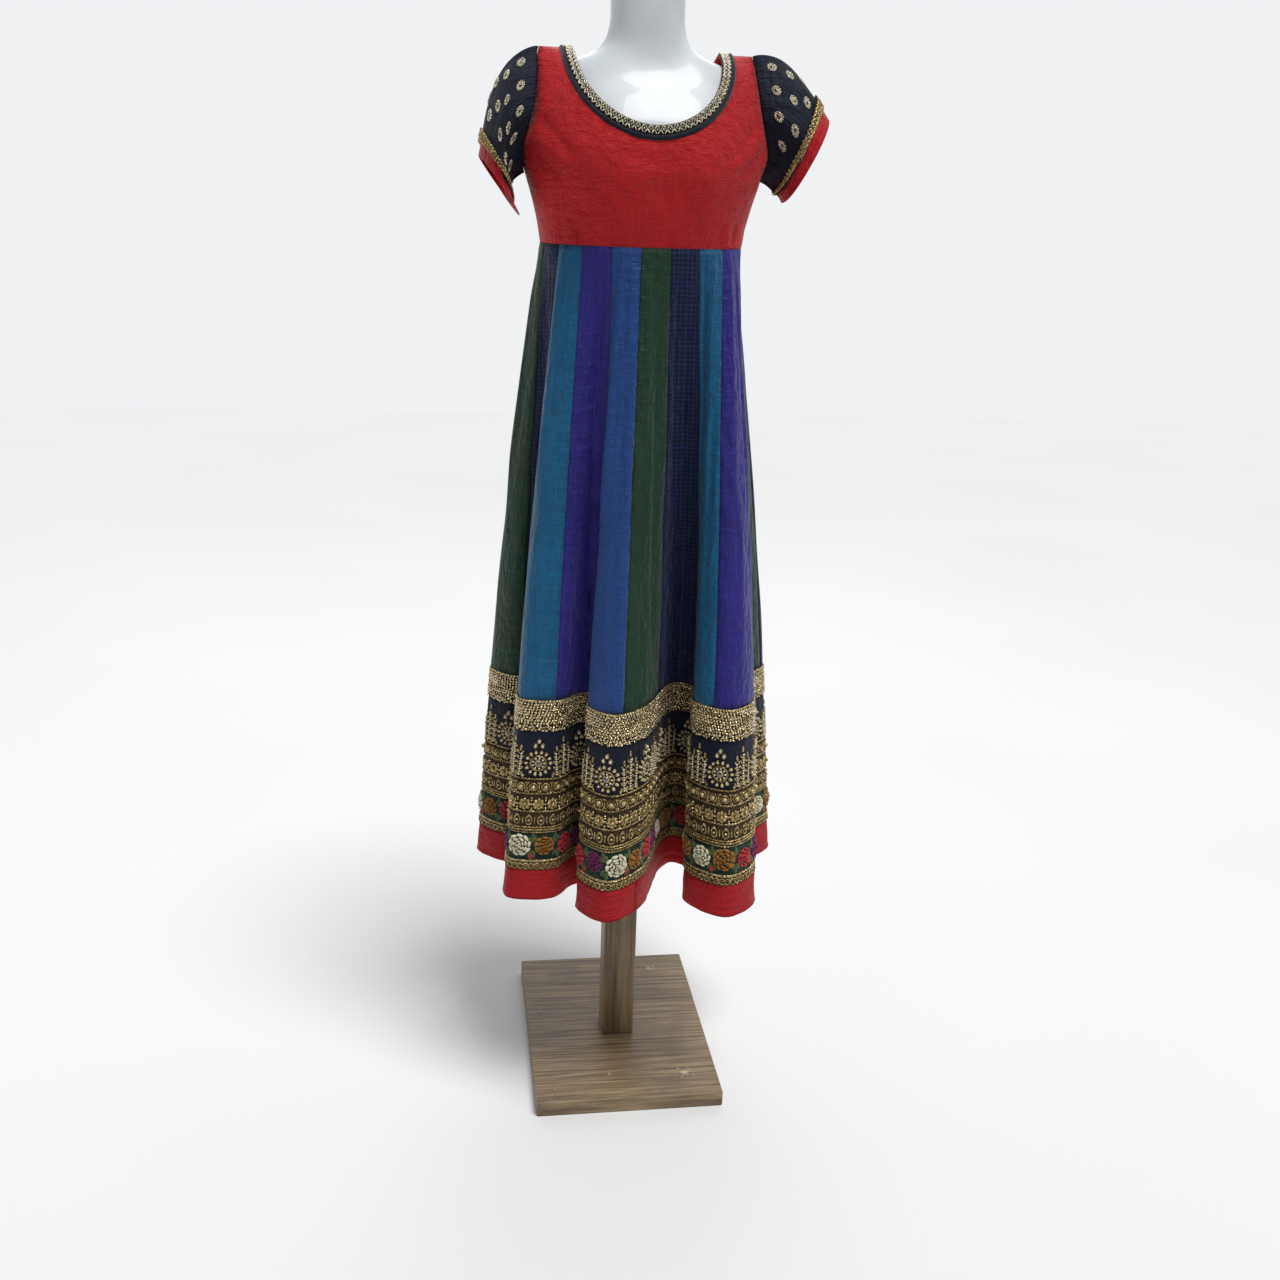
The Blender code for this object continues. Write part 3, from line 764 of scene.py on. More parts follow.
@dataclass(frozen=True)
class Glossy:
    """Pearls, mirrors and cut stones."""

    name: str
    colour: tuple[float, float, float]
    roughness: float
    metallic: float = 0.0
    coat: float = 0.6

    def make(self) -> bpy.types.Material:
        """Builds the material with a slight unevenness.

        Returns:
            The material.
        """
        g = Graph(self.name)
        tone = g.noise(g.mapped("Object", (1.0, 1.0, 1.0)), 240.0, 1.0)
        colour = g.ramp(tone, ((0.35, shade(self.colour, 0.82)), (0.62, self.colour)))
        return g.finish(colour, g.bump(tone, 0.0002, 0.4), self.roughness, self.metallic,
                        coat=self.coat)


@dataclass(frozen=True)
class FormSkin:
    """The dress form's satin white shell."""

    name: str = "form_white"

    def make(self) -> bpy.types.Material:
        """Builds the material with soft marks and a fine orange peel.

        Returns:
            The material.
        """
        g = Graph(self.name)
        marks = g.noise(g.mapped("Object", (1.0, 1.0, 1.0)), 22.0, 4.0)
        colour = g.ramp(marks, ((0.30, linear(212, 219, 223)), (0.62, linear(222, 229, 233))))
        peel = g.noise(g.mapped("Object", (1.0, 1.0, 1.0)), 900.0, 2.0)
        return g.finish(colour, g.bump(peel, 0.0002, 0.35), 0.42, coat=0.15)


@dataclass(frozen=True)
class Wood:
    """Olive-brown wood with close grain along one axis, soft stains, worn flecks and painted
    highlights at given places.
    """

    name: str
    stretch: tuple[float, float, float]
    painted_highlights: tuple[tuple[float, float, float], ...] = ()

    def make(self) -> bpy.types.Material:
        """Builds the material: grain, stains, worn flecks, painted highlights and relief.

        Returns:
            The material.
        """
        g = Graph(self.name)
        grain = g.noise(g.mapped("Object", self.stretch), 1.0, 6.0, 0.66)
        coarse = tuple(value * 0.2 for value in self.stretch)
        wide = g.noise(g.mapped("Object", coarse), 1.0, 3.0, 0.5)
        base = g.ramp(grain, ((0.36, linear(74, 58, 41)), (0.50, linear(128, 106, 78)),
                              (0.64, linear(168, 145, 107))))
        base = g.blend(g.maths("MULTIPLY", wide, 0.4), base, linear(112, 92, 66))
        stain = g.noise(g.mapped("Object", (1.0, 1.0, 1.0)), 15.0, 3.0, 0.5)
        dim = g.ramp(stain, ((0.52, (0.0, 0.0, 0.0)), (0.68, (1.0, 1.0, 1.0))))
        base = g.blend(g.maths("MULTIPLY", dim, 0.40), base, linear(84, 68, 50))
        speck = g.noise(g.mapped("Object", (1.0, 1.0, 1.0)), 62.0, 5.0, 0.7)
        worn = g.ramp(speck, ((0.67, (0.0, 0.0, 0.0)), (0.71, (1.0, 1.0, 1.0))))
        base = g.blend(g.maths("MULTIPLY", worn, 0.50), base, linear(196, 178, 150))
        # painted highlight: lighter flecks about each given place of the board's top
        for x, y, radius in self.painted_highlights:
            base = g.blend(self.painted_highlight(g, x, y, radius), base, linear(206, 190, 160))
        return g.finish(base, g.bump(grain, 0.0006, 0.5), 0.5, coat=0.1)

    def painted_highlight(self, g: Graph, x: float, y: float, radius: float) -> bpy.types.NodeSocket:
        """Share of painted highlight about one place of the top: flecks that thin out from it.

        Args:
            g: the material's graph.
            x: the place.
            y: the place.
            radius: how far the painted highlight reaches.

        Returns:
            The socket of the share.
        """
        split = g.node("ShaderNodeSeparateXYZ")
        g.put(split.inputs[0], g.mapped("Object", (1.0, 1.0, 1.0)))
        across = g.maths("DIVIDE", g.maths("SUBTRACT", split.outputs[0], x), radius)
        along = g.maths("DIVIDE", g.maths("SUBTRACT", split.outputs[1], y), 0.7 * radius)
        away = g.maths("ADD", g.maths("MULTIPLY", across, across),
                       g.maths("MULTIPLY", along, along))
        flecks = g.noise(g.mapped("Object", (170.0, 210.0, 170.0)), 1.0, 5.0, 0.75)
        share = g.maths("SUBTRACT", flecks, g.maths("MULTIPLY", g.maths("SQRT", away), 0.16))
        return g.ramp(share, ((0.47, (0.0, 0.0, 0.0)), (0.53, (0.8, 0.8, 0.8))))


@dataclass
class Wardrobe:
    """Every finish, made when it is first asked for."""

    finishes: dict[str, object] = field(default_factory=dict)
    made: dict[str, bpy.types.Material] = field(default_factory=dict)

    def add(self, *finishes: object) -> None:
        """Takes in finishes by their own names."""
        for finish in finishes:
            self.finishes[finish.name] = finish

    def get(self, name: str) -> bpy.types.Material:
        """The material of a finish.

        Args:
            name: the finish's name.

        Returns:
            The material, made once.
        """
        if name not in self.made:
            self.made[name] = self.finishes[name].make()
        return self.made[name]


# places of the painted highlights on the board's top, and their sizes
PAINTED_BOARD_HIGHLIGHTS = ((0.093, -0.142, 0.026), (0.086, 0.175, 0.018))

WARDROBE = Wardrobe()
WARDROBE.add(
    Silk("raw_silk_red", linear(190, 21, 28), Pattern.SLUB, roughness=0.60, streak=0.22),
    Silk("silk_red", linear(184, 20, 30), roughness=0.50, streak=0.16),
    Silk("silk_quilted", linear(168, 15, 24), Pattern.QUILTED, line=linear(96, 6, 12),
         roughness=0.58, streak=0.18, sheen=0.03),
    Silk("silk_navy", linear(18, 24, 42), roughness=0.66, streak=0.34, sheen=0.06),
    Silk("silk_check", linear(11, 18, 48), Pattern.CHECK, line=linear(42, 62, 120), streak=0.25,
         sheen=0.06),
    Silk("silk_teal", linear(20, 90, 130), roughness=0.46, sheen=0.14, streak=0.34),
    Silk("silk_violet", linear(45, 40, 126), roughness=0.50, sheen=0.12, streak=0.26),
    Silk("silk_blue", linear(32, 70, 132), roughness=0.50, sheen=0.12),
    Silk("silk_green", linear(30, 60, 42), roughness=0.52, sheen=0.1),
    Silk("ground_green", linear(20, 48, 40), roughness=0.70, streak=0.3, sheen=0.1),
    Silk("ground_dark", linear(30, 24, 22), roughness=0.70, streak=0.4, sheen=0.05),
    Silk("ground_bronze", linear(60, 47, 30), roughness=0.62, streak=0.4, sheen=0.05),
    Silk("ground_gold", linear(84, 66, 36), roughness=0.60, streak=0.4, sheen=0.1),
    Metal("gold_thread", linear(92, 72, 40), linear(222, 196, 138)),
    Metal("gold_sequin", linear(140, 114, 68), linear(255, 238, 190), roughness=0.20),
    Metal("bead_cream", linear(138, 124, 94), linear(252, 244, 218), roughness=0.36,
          metallic=0.25),
    Metal("old_gold", linear(84, 64, 34), linear(190, 160, 100), roughness=0.40),
    Metal("silver_bead", linear(170, 164, 150), linear(244, 240, 228), roughness=0.24,
          metallic=0.6),
    Yarn("yarn_cream", linear(240, 232, 200), 0.55),
    Yarn("yarn_mustard", linear(170, 112, 28)),
    Yarn("yarn_coral", linear(204, 42, 50)),
    Yarn("yarn_purple", linear(122, 18, 92)),
    Yarn("yarn_leaf", linear(86, 104, 52)),
    Yarn("thread_navy", linear(18, 24, 42)),
    Glossy("pearl", linear(226, 214, 182), 0.22),
    Glossy("mirror", linear(112, 110, 100), 0.14, 0.9),
    Glossy("topaz", linear(196, 172, 122), 0.18, 0.3),
    FormSkin(),
    Wood("wood_post", (95.0, 95.0, 3.2)),
    Wood("wood_board", (7.0, 230.0, 90.0), PAINTED_BOARD_HIGHLIGHTS),
)


# ------------------------------------------------------------------ making pieces
def deselect() -> None:
    """Clears the selection, so that an operator acts only on what is new."""
    if bpy.context.object and bpy.context.object.mode != "OBJECT":
        bpy.ops.object.mode_set(mode="OBJECT")
    bpy.ops.object.select_all(action="DESELECT")


def new_piece(name: str, vertices: Array, faces: Sequence[Sequence[int]], finish: str,
              uv: Array | None = None, smooth: bool = True) -> bpy.types.Object:
    """Makes a mesh object that rides on the root body.

    Args:
        name: the piece's name.
        vertices: its points.
        faces: its faces, triangles or quads.
        finish: the name of its finish.
        uv: a UV place for each point, in metres.
        smooth: whether it is shaded smooth.

    Returns:
        The object.
    """
    mesh = bpy.data.meshes.new(name)
    mesh.from_pydata(vertices.tolist(), [], [tuple(int(i) for i in f) for f in faces])
    mesh.materials.append(WARDROBE.get(finish))
    if uv is not None:
        layer = mesh.uv_layers.new(name="cloth")
        loops = np.empty(len(mesh.loops), int)
        mesh.loops.foreach_get("vertex_index", loops)
        layer.data.foreach_set("uv", uv[loops].astype(np.float32).ravel())
    mesh.polygons.foreach_set("use_smooth", [smooth] * len(mesh.polygons))
    mesh.update()
    piece = bpy.data.objects.new(name, mesh)
    bpy.context.scene.collection.objects.link(piece)
    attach(piece, "root")
    LOG.info("%s: %d faces", name, len(mesh.polygons))
    return piece


def shell(name: str, points: Array, normals: Array, uv: Array, closed: bool, finish: str,
          thickness: float = CLOTH) -> bpy.types.Object:
    """A thin closed wall behind a grid of points.

    Args:
        name: the piece's name.
        points: rows by columns by 3, rows rising, columns running to the left of outward.
        normals: the outward normals of the points.
        uv: rows by columns by 2, in metres.
        closed: whether the last column meets the first.
        finish: the name of its finish.
        thickness: how far the inner face lies behind the outer.

    Returns:
        The object.
    """
    rows, columns = points.shape[:2]
    inner = points - normals * thickness
    vertices = np.concatenate([points.reshape(-1, 3), inner.reshape(-1, 3)])
    uvs = np.concatenate([uv.reshape(-1, 2)] * 2)
    last = columns if closed else columns - 1
    r, c = np.meshgrid(np.arange(rows - 1), np.arange(last), indexing="ij")
    n = (c + 1) % columns
    quads = np.stack([r * columns + c, r * columns + n, (r + 1) * columns + n,
                      (r + 1) * columns + c], axis=-1).reshape(-1, 4)
    back = quads[:, ::-1] + rows * columns
    rims = []
    c = np.arange(last)
    n = (c + 1) % columns
    top = (rows - 1) * columns
    half = rows * columns
    rims.append(np.stack([n, c, c + half, n + half], axis=1))
    rims.append(np.stack([c + top, n + top, n + top + half, c + top + half], axis=1))
    if not closed:
        r = np.arange(rows - 1) * columns
        end = r + columns - 1
        rims.append(np.stack([r, r + columns, r + columns + half, r + half], axis=1))
        rims.append(np.stack([end + columns, end, end + half, end + columns + half], axis=1))
    faces = np.concatenate([quads, back, *rims])
    return new_piece(name, vertices, faces, finish, uvs)


@dataclass
class Motif:
    """A small shape modelled once, in its own metres: x along, y up the cloth, z out."""

    vertices: Array
    faces: list[tuple[int, ...]]

    @staticmethod
    def take(piece: bpy.types.Object) -> "Motif":
        """Reads a modelled object into a motif and removes the object.

        Args:
            piece: the modelled object.

        Returns:
            The motif.
        """
        deselect()
        piece.select_set(True)
        bpy.context.view_layer.objects.active = piece
        bpy.ops.object.transform_apply(location=True, rotation=True, scale=True)
        mesh = piece.data
        vertices = np.array([v.co[:] for v in mesh.vertices])
        faces = [tuple(p.vertices) for p in mesh.polygons]
        bpy.data.objects.remove(piece, do_unlink=True)
        bpy.data.meshes.remove(mesh)
        return Motif(vertices, faces)

    @staticmethod
    def join(*parts: "Motif") -> "Motif":
        """Several motifs as one.

        Args:
            *parts: the motifs.

        Returns:
            One motif that holds them all.
        """
        vertices, faces, offset = [], [], 0
        for part in parts:
            vertices.append(part.vertices)
            faces += [tuple(i + offset for i in f) for f in part.faces]
            offset += len(part.vertices)
        return Motif(np.concatenate(vertices), faces)

    def moved(self, x: float = 0.0, y: float = 0.0, z: float = 0.0, turn: float = 0.0,
              scale: tuple[float, float, float] = (1.0, 1.0, 1.0)) -> "Motif":
        """A copy scaled, then turned in degrees about z, then moved.

        Args:
            x: move along the cloth.
            y: move up the cloth.
            z: move off the cloth.
            turn: degrees about z.
            scale: factors, used first.

        Returns:
            The copy.
        """
        v = self.vertices * np.array(scale)
        c, s = math.cos(math.radians(turn)), math.sin(math.radians(turn))
        v = np.stack([v[:, 0] * c - v[:, 1] * s + x, v[:, 0] * s + v[:, 1] * c + y,
                      v[:, 2] + z], axis=1)
        return Motif(v, self.faces)


class MotifShop:
    """Models the small shapes that the trims repeat, each from a primitive."""

    def bead(self, radius: float, segments: int = 8, rings: int = 5) -> Motif:
        """A round bead that sits on the cloth.

        Args:
            radius: its radius.
            segments: faces round it.
            rings: faces up it.

        Returns:
            The motif.
        """
        deselect()
        bpy.ops.mesh.primitive_uv_sphere_add(segments=segments, ring_count=rings, radius=radius,
                                             location=(0.0, 0.0, radius * 0.6))
        return Motif.take(bpy.context.object)

    def ring(self, radius: float, thickness: float, around: int = 14, across: int = 5) -> Motif:
        """A ring of couched thread.

        Args:
            radius: to the middle of the thread.
            thickness: the thread's radius.
            around: faces round the ring.
            across: faces round the thread.

        Returns:
            The motif.
        """
        deselect()
        bpy.ops.mesh.primitive_torus_add(major_radius=radius, minor_radius=thickness,
                                         major_segments=around, minor_segments=across,
                                         location=(0.0, 0.0, thickness * 0.5))
        return Motif.take(bpy.context.object)

    def disc(self, radius: float, height: float, sides: int = 6) -> Motif:
        """A sequin or a small mirror with a turned-down edge.

        Args:
            radius: its radius.
            height: its height.
            sides: faces round it.

        Returns:
            The motif.
        """
        deselect()
        bpy.ops.mesh.primitive_cylinder_add(vertices=sides, radius=radius, depth=height,
                                            location=(0.0, 0.0, 0.5 * height))
        piece = bpy.context.object
        bpy.ops.object.mode_set(mode="EDIT")
        bpy.ops.mesh.select_mode(type="FACE")
        bpy.ops.mesh.select_all(action="DESELECT")
        bpy.ops.object.mode_set(mode="OBJECT")
        for face in piece.data.polygons:
            face.select = face.normal.z > 0.9
        bpy.ops.object.mode_set(mode="EDIT")
        bpy.ops.mesh.inset(thickness=radius * 0.25, depth=height * 0.5)
        bpy.ops.object.mode_set(mode="OBJECT")
        return Motif.take(piece)

    def petal(self, length: float, width: float, height: float, segments: int = 6,
              rings: int = 4) -> Motif:
        """A plump petal of satin stitch, its root at the origin, pointing along +x.

        Args:
            length: along x.
            width: along y.
            height: its thickness.
            segments: faces round it.
            rings: faces along it.

        Returns:
            The motif.
        """
        deselect()
        bpy.ops.mesh.primitive_uv_sphere_add(segments=segments, ring_count=rings, radius=0.5,
                                             location=(0.0, 0.0, 0.0),
                                             rotation=(0.0, 0.5 * math.pi, 0.0))
        return Motif.take(bpy.context.object).moved(
            x=0.5 * length, z=0.22 * height, scale=(length, width, height))

    def twist(self, length: float, width: float, height: float) -> Motif:
        """One short twist of couched cord."""
        return self.petal(length, width, height, 5, 3)

    def sequin(self, radius: float, height: float) -> Motif:
        """A cupped sequin.

        Args:
            radius: its radius.
            height: its height.

        Returns:
            The motif.
        """
        deselect()
        bpy.ops.mesh.primitive_cone_add(vertices=5, radius1=radius, radius2=radius * 0.5,
                                        depth=height, location=(0.0, 0.0, 0.5 * height))
        return Motif.take(bpy.context.object)

    def rose(self, radius: float) -> Motif:
        """A full rose: a heart, and three whorls of petals that overlap and rise inwards.

        Args:
            radius: its radius.

        Returns:
            The motif.
        """
        parts = [self.bead(radius * 0.09, 6, 4).moved(z=radius * 0.24)]
        whorls = ((9, 0.79, 0.56, 0.30, 0.26, 0.00, 0.0), (7, 0.53, 0.48, 0.21, 0.26, 0.07, 22.0),
                  (5, 0.32, 0.38, 0.16, 0.24, 0.12, 50.0), (3, 0.15, 0.28, 0.13, 0.22, 0.17, 12.0))
        for count, away, wide, deep, thick, rise, phase in whorls:
            petal = self.petal(radius * wide, radius * deep, radius * thick, 6, 5)
            petal = petal.moved(x=-0.5 * radius * wide)
            for k in range(count):
                swing = 360.0 * k / count + phase
                x, y = math.cos(math.radians(swing)), math.sin(math.radians(swing))
                parts.append(petal.moved(turn=swing + 78.0, x=x * radius * away,
                                         y=y * radius * away, z=radius * rise))
        return Motif.join(*parts)

    def flower(self, radius: float, petals: int) -> Motif:
        """A small open flower.

        Args:
            radius: its radius.
            petals: how many petals.

        Returns:
            The motif.
        """
        petal = self.petal(radius * 0.72, radius * 0.62, radius * 0.35)
        parts = [petal.moved(turn=360.0 * k / petals,
                             x=math.cos(2 * math.pi * k / petals) * radius * 0.26,
                             y=math.sin(2 * math.pi * k / petals) * radius * 0.26)
                 for k in range(petals)]
        return Motif.join(self.bead(radius * 0.30).moved(z=radius * 0.1), *parts)


SHOP = MotifShop()


@dataclass(frozen=True)
class Spot:
    """Where one motif goes: a share round the patch, a share up it, turn and size."""

    u: float
    v: float
    turn: float = 0.0
    size: float = 1.0


def scatter(name: str, patch: Patch, motif: Motif, spots: Sequence[Spot], finish: str,
            width: float, height: float, lift: float = 0.0,
            tilt: float = 0.0) -> bpy.types.Object:
    """Lays copies of a motif on a patch, bent to its folds, as one joined mesh.

    Args:
        name: the piece's name.
        patch: the cloth it lies on.
        motif: the shape.
        spots: where each copy goes.
        finish: the name of its finish.
        width: length across the patch that a share of 1 spans, in metres.
        height: length up the patch that a share of 1 spans, in metres.
        lift: extra distance off the cloth.
        tilt: how far copies lean to one side or the other, as a slope.

    Returns:
        The object.
    """
    places = np.array([(s.u, s.v, math.radians(s.turn), s.size) for s in spots])
    base = motif.vertices[None] * places[:, 3][:, None, None]
    c, s = np.cos(places[:, 2])[:, None], np.sin(places[:, 2])[:, None]
    x = base[..., 0] * c - base[..., 1] * s
    y = base[..., 0] * s + base[..., 1] * c
    u = places[:, 0][:, None] + x / width
    v = places[:, 1][:, None] + y / height
    points, normals = patch.read(u, v)
    index = np.arange(len(spots))[:, None]
    lean = x * np.sin(index * 12.9898) + y * np.sin(index * 78.233 + 1.0)
    points = points + normals * (base[..., 2] + lift + tilt * lean)[..., None]
    count = len(motif.vertices)
    faces = [tuple(i + k * count for i in f) for k in range(len(spots)) for f in motif.faces]
    return new_piece(name, points.reshape(-1, 3), faces, finish)


# ------------------------------------------------------------------ the skirt
@dataclass(frozen=True)
class Crease:
    """One soft crease pressed or pulled into a kali."""

    kali: int
    across: float
    top: float
    bottom: float
    depth: float
    width: float
    slant: float = 0.0


CREASES = (
    Crease(3, 0.22, 1.30, 0.98, -0.0022, 0.10, 0.10), Crease(3, 0.62, 1.30, 1.12, 0.0018, 0.09),
    Crease(3, 0.80, 1.12, 0.76, -0.0018, 0.08, -0.1), Crease(4, 0.30, 1.30, 0.92, 0.0020, 0.10),
    Crease(4, 0.66, 1.28, 0.70, -0.0022, 0.07, 0.15), Crease(4, 0.45, 0.98, 0.67, 0.0015, 0.06),
    Crease(2, 0.35, 1.30, 0.90, -0.0026, 0.12), Crease(2, 0.75, 1.20, 0.72, 0.0020, 0.09),
    Crease(5, 0.40, 1.30, 1.00, -0.0024, 0.12), Crease(5, 0.70, 1.10, 0.68, 0.0020, 0.10, 0.1),
    Crease(1, 0.25, 1.30, 1.02, 0.0022, 0.10), Crease(1, 0.60, 1.18, 0.70, -0.0024, 0.09),
    Crease(6, 0.30, 1.30, 0.86, 0.0022, 0.11), Crease(7, 0.55, 1.30, 0.96, -0.0022, 0.10),
    Crease(8, 0.35, 1.24, 0.74, 0.0020, 0.09), Crease(9, 0.60, 1.30, 0.90, -0.0024, 0.10, -0.1),
    Crease(10, 0.40, 1.28, 1.00, 0.0020, 0.09), Crease(11, 0.50, 1.30, 0.84, -0.0024, 0.11),
    Crease(12, 0.30, 1.30, 0.94, 0.0022, 0.10), Crease(13, 0.65, 1.22, 0.72, -0.0020, 0.08),
    Crease(14, 0.40, 1.30, 0.96, 0.0022, 0.10), Crease(15, 0.55, 1.30, 0.80, -0.0024, 0.11),
    Crease(16, 0.35, 1.28, 0.90, 0.0020, 0.09), Crease(17, 0.60, 1.30, 0.74, -0.0022, 0.10),
    Crease(18, 0.30, 1.30, 0.92, 0.0022, 0.10, 0.1), Crease(19, 0.60, 1.26, 0.70, -0.0024, 0.09),
    Crease(20, 0.40, 1.30, 0.88, 0.0022, 0.10), Crease(20, 0.75, 1.14, 0.68, -0.0018, 0.08),
)


@dataclass
class Skirt:
    """The 20 kalis, from the empire seam down to the border."""

    patch: Patch
    columns: int = 17
    rows: int = 64
    kali_colours: tuple[str, ...] = ("green", "check", "teal", "violet", "blue")
    waviness: float = 0.0009
    crease_gain: float = 1.8
    pucker: float = 0.0011
    pull: float = 0.0005
    seam_depth: float = 0.0011

    def share_up(self, z: Array | float) -> Array | float:
        """Share of the patch's height at a height above the floor."""
        return (z - CUT.hem) / (CUT.empire - CUT.hem)

    def relief(self, kali: int, across: Array, z: Array) -> Array:
        """Height of the creases, puckers and seams of one kali above its plain form.

        Args:
            kali: its number.
            across: shares across the kali.
            z: heights.

        Returns:
            The heights off the plain form.
        """
        out = self.waviness * ripple(across * 2.6, z * 9.0, 1.3 * kali)
        for crease in CREASES:
            if crease.kali != kali:
                continue
            along = (crease.top - z) / (crease.top - crease.bottom)
            centre = crease.across + crease.slant * along
            fade = step_between(along, -0.02, 0.16) * (1.0 - step_between(along, 0.70, 1.0))
            shape = bell(across - centre, 0.0, crease.width) * fade
            out = out + self.crease_gain * crease.depth * shape
        below = CUT.empire - z
        pucker = np.sin(across * 17.0 + kali * 2.3) * np.exp(-below / 0.016) * self.pucker
        pull = np.sin(below * 700.0 + across * 4.0 + kali) * np.exp(-below / 0.010) * self.pull
        seam = -self.seam_depth * (bell(across, 0.0, 0.035) + bell(across, 1.0, 0.035))
        hold = step_between(below, 0.0, 0.006)
        return (out + pucker + pull) * hold + seam

    def build(self) -> None:
        """Makes each kali with its tapered cut."""
        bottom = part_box("border_gold")[1][2] + SEAM_GAP
        top = CUT.empire - 0.5 * SEAM_GAP
        for kali in range(1, CUT.kalis + 1):
            colour = self.kali_colours[(kali - 1) % len(self.kali_colours)]
            z = np.linspace(bottom, top, self.rows)[:, None]
            across = np.linspace(0.0, 1.0, self.columns)[None]
            across, z = np.broadcast_arrays(across, z)
            width_low = self.patch.run(self.share_up(bottom)) / CUT.kalis
            width_high = self.patch.run(1.0) / CUT.kalis
            width = width_low + (width_high - width_low) * self.share_up(z)
            inset = 0.5 * SEAM_GAP / width
            share = (kali - 1.5 + inset + across * (1 - 2 * inset)) / CUT.kalis + CUT.kali_turn
            points, normals = self.patch.read(share, self.share_up(z))
            points = points + normals * self.relief(kali, across, z)[..., None]
            uv = np.stack([(across - 0.5) * width, z], axis=-1)
            name = f"silk_kali_{kali:02d}"
            piece = shell(name, points, normals, uv, False, f"silk_{colour}")
            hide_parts(f"kali_{kali:02d}_{colour}")


# ------------------------------------------------------------------ the border
@dataclass
class Border:
    """The six bands of the border, and all that is worked on them."""

    patch: Patch
    columns: int = 480
    hem_columns: int = 500
    ribbon_join: int = 6
    sequin_rows: int = 11
    sequin_pitch: float = 0.0047
    sequin_tilt: float = 0.55
    scallop: float = 0.0022
    bead_rows: int = 5
    bead_pitch: float = 0.0112
    medallion_rise: float = 0.024
    medallion_pitch: float = 0.0735
    lobes: int = 14
    lobe_circle: float = 0.0136
    pearl_circle: float = 0.0172
    inner_circle: float = 0.0080
    plume_step: float = 0.0040
    setting_pitch: float = 0.0176
    flower_pitch: float = 0.0205
    cord_pitch: float = 0.0053
    rose_pitch: float = 0.036
    rose_radius: float = 0.0184
    rose_shift: float = 0.0268
    edge_pitch: float = 0.0046
    loop_pitch: float = 0.0082
    edging_pitch: float = 0.0040

    def share_up(self, z: float) -> float:
        """Share of the patch's height at a height above the floor."""
        return (z - CUT.hem) / (CUT.empire - CUT.hem)

    def round_at(self, z: float) -> float:
        """Length once round the skirt at a height."""
        return self.patch.run(self.share_up(z))

    def band(self, node: str, name: str, finish: str, columns: int, rows: int,
             relief: Callable[[Array, Array], Array]) -> tuple[float, float]:
        """Makes one band's cloth, and gives its lowest and highest edge.

        Args:
            node: the CAD node that it replaces.
            name: the piece's name.
            finish: its finish.
            columns: points round it.
            rows: points up it.
            relief: its height at a length round and a height.

        Returns:
            Its lowest and highest edge.
        """
        low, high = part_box(node)[0][2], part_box(node)[1][2]
        z = np.linspace(low, high, rows)[:, None]
        share = (np.arange(columns) / columns)[None]
        share, z = np.broadcast_arrays(share, z)
        points, normals = self.patch.read(share, self.share_up(z))
        length = self.round_at(0.5 * (low + high))
        points = points + normals * relief(share * length, z)[..., None]
        uv = np.stack([share * length, z], axis=-1)
        piece = shell(name, points, normals, uv, True, finish)
        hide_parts(node)
        return low, high

    def rows_of(self, z: float, pitch: float, phase: float = 0.0,
                size: float = 1.0) -> list[Spot]:
        """Spots evenly round the skirt at one height."""
        count = max(int(self.round_at(z) / pitch), 1)
        return [Spot((k + phase) / count, self.share_up(z), 0.0, size) for k in range(count)]

    def lay(self, name: str, motif: Motif, spots: Sequence[Spot], finish: str, z: float,
            lift: float = 0.0, tilt: float = 0.0) -> None:
        """Lays motifs at one height of the border.

        Args:
            name: the piece's name.
            motif: the shape.
            spots: its places.
            finish: its finish.
            z: the height whose run sets the scale across.
            lift: extra distance off the cloth.
            tilt: how far copies lean.
        """
        piece = scatter(name, self.patch, motif, spots, finish, self.round_at(z),
                        CUT.empire - CUT.hem, lift, tilt)

    def cord(self, z: float, radius: float) -> list[Spot]:
        """Spots of a couched cord: short overlapping twists once round."""
        return self.rows_of(z, radius * 3.0)

    def gold_band(self) -> None:
        """Sequinned gold band whose lower edge is scalloped."""
        low, high = self.band("border_gold", "gold_band_cloth", "ground_dark",
                              self.columns, 4, lambda x, z: 0.0 * x)
        sequin = SHOP.sequin(0.0028, 0.0011)
        spots = []
        rows = self.sequin_rows
        for row in range(rows):
            z = high - 0.002 - row * (high - low - 0.001) / (rows - 1)
            deep = self.scallop if row >= rows - 2 else 0.0
            for k, spot in enumerate(self.rows_of(z, self.sequin_pitch, 0.5 * (row % 2))):
                dip = deep * abs(math.sin(math.pi * k / 3.0))
                wander = 11.0 * math.sin(2.7 * k + row)
                spots.append(Spot(spot.u, spot.v - dip / (CUT.empire - CUT.hem), wander))
        self.lay("gold_band_sequins", sequin, spots, "gold_sequin", 0.5 * (low + high),
                 0.0006, self.sequin_tilt)
        bead = SHOP.bead(0.0014, 5, 3)
        spots = []
        for row in range(self.bead_rows):
            z = high - 0.006 - row * 0.0082
            spots += self.rows_of(z, self.bead_pitch, 0.25 * row)
        self.lay("gold_band_beads", bead, spots, "silver_bead", 0.5 * (low + high),
                 0.0008)
        edges = self.cord(high - 0.0012, 0.0012)
        self.lay("gold_band_cord", SHOP.twist(0.0046, 0.0024, 0.0028), edges, "gold_thread", high)

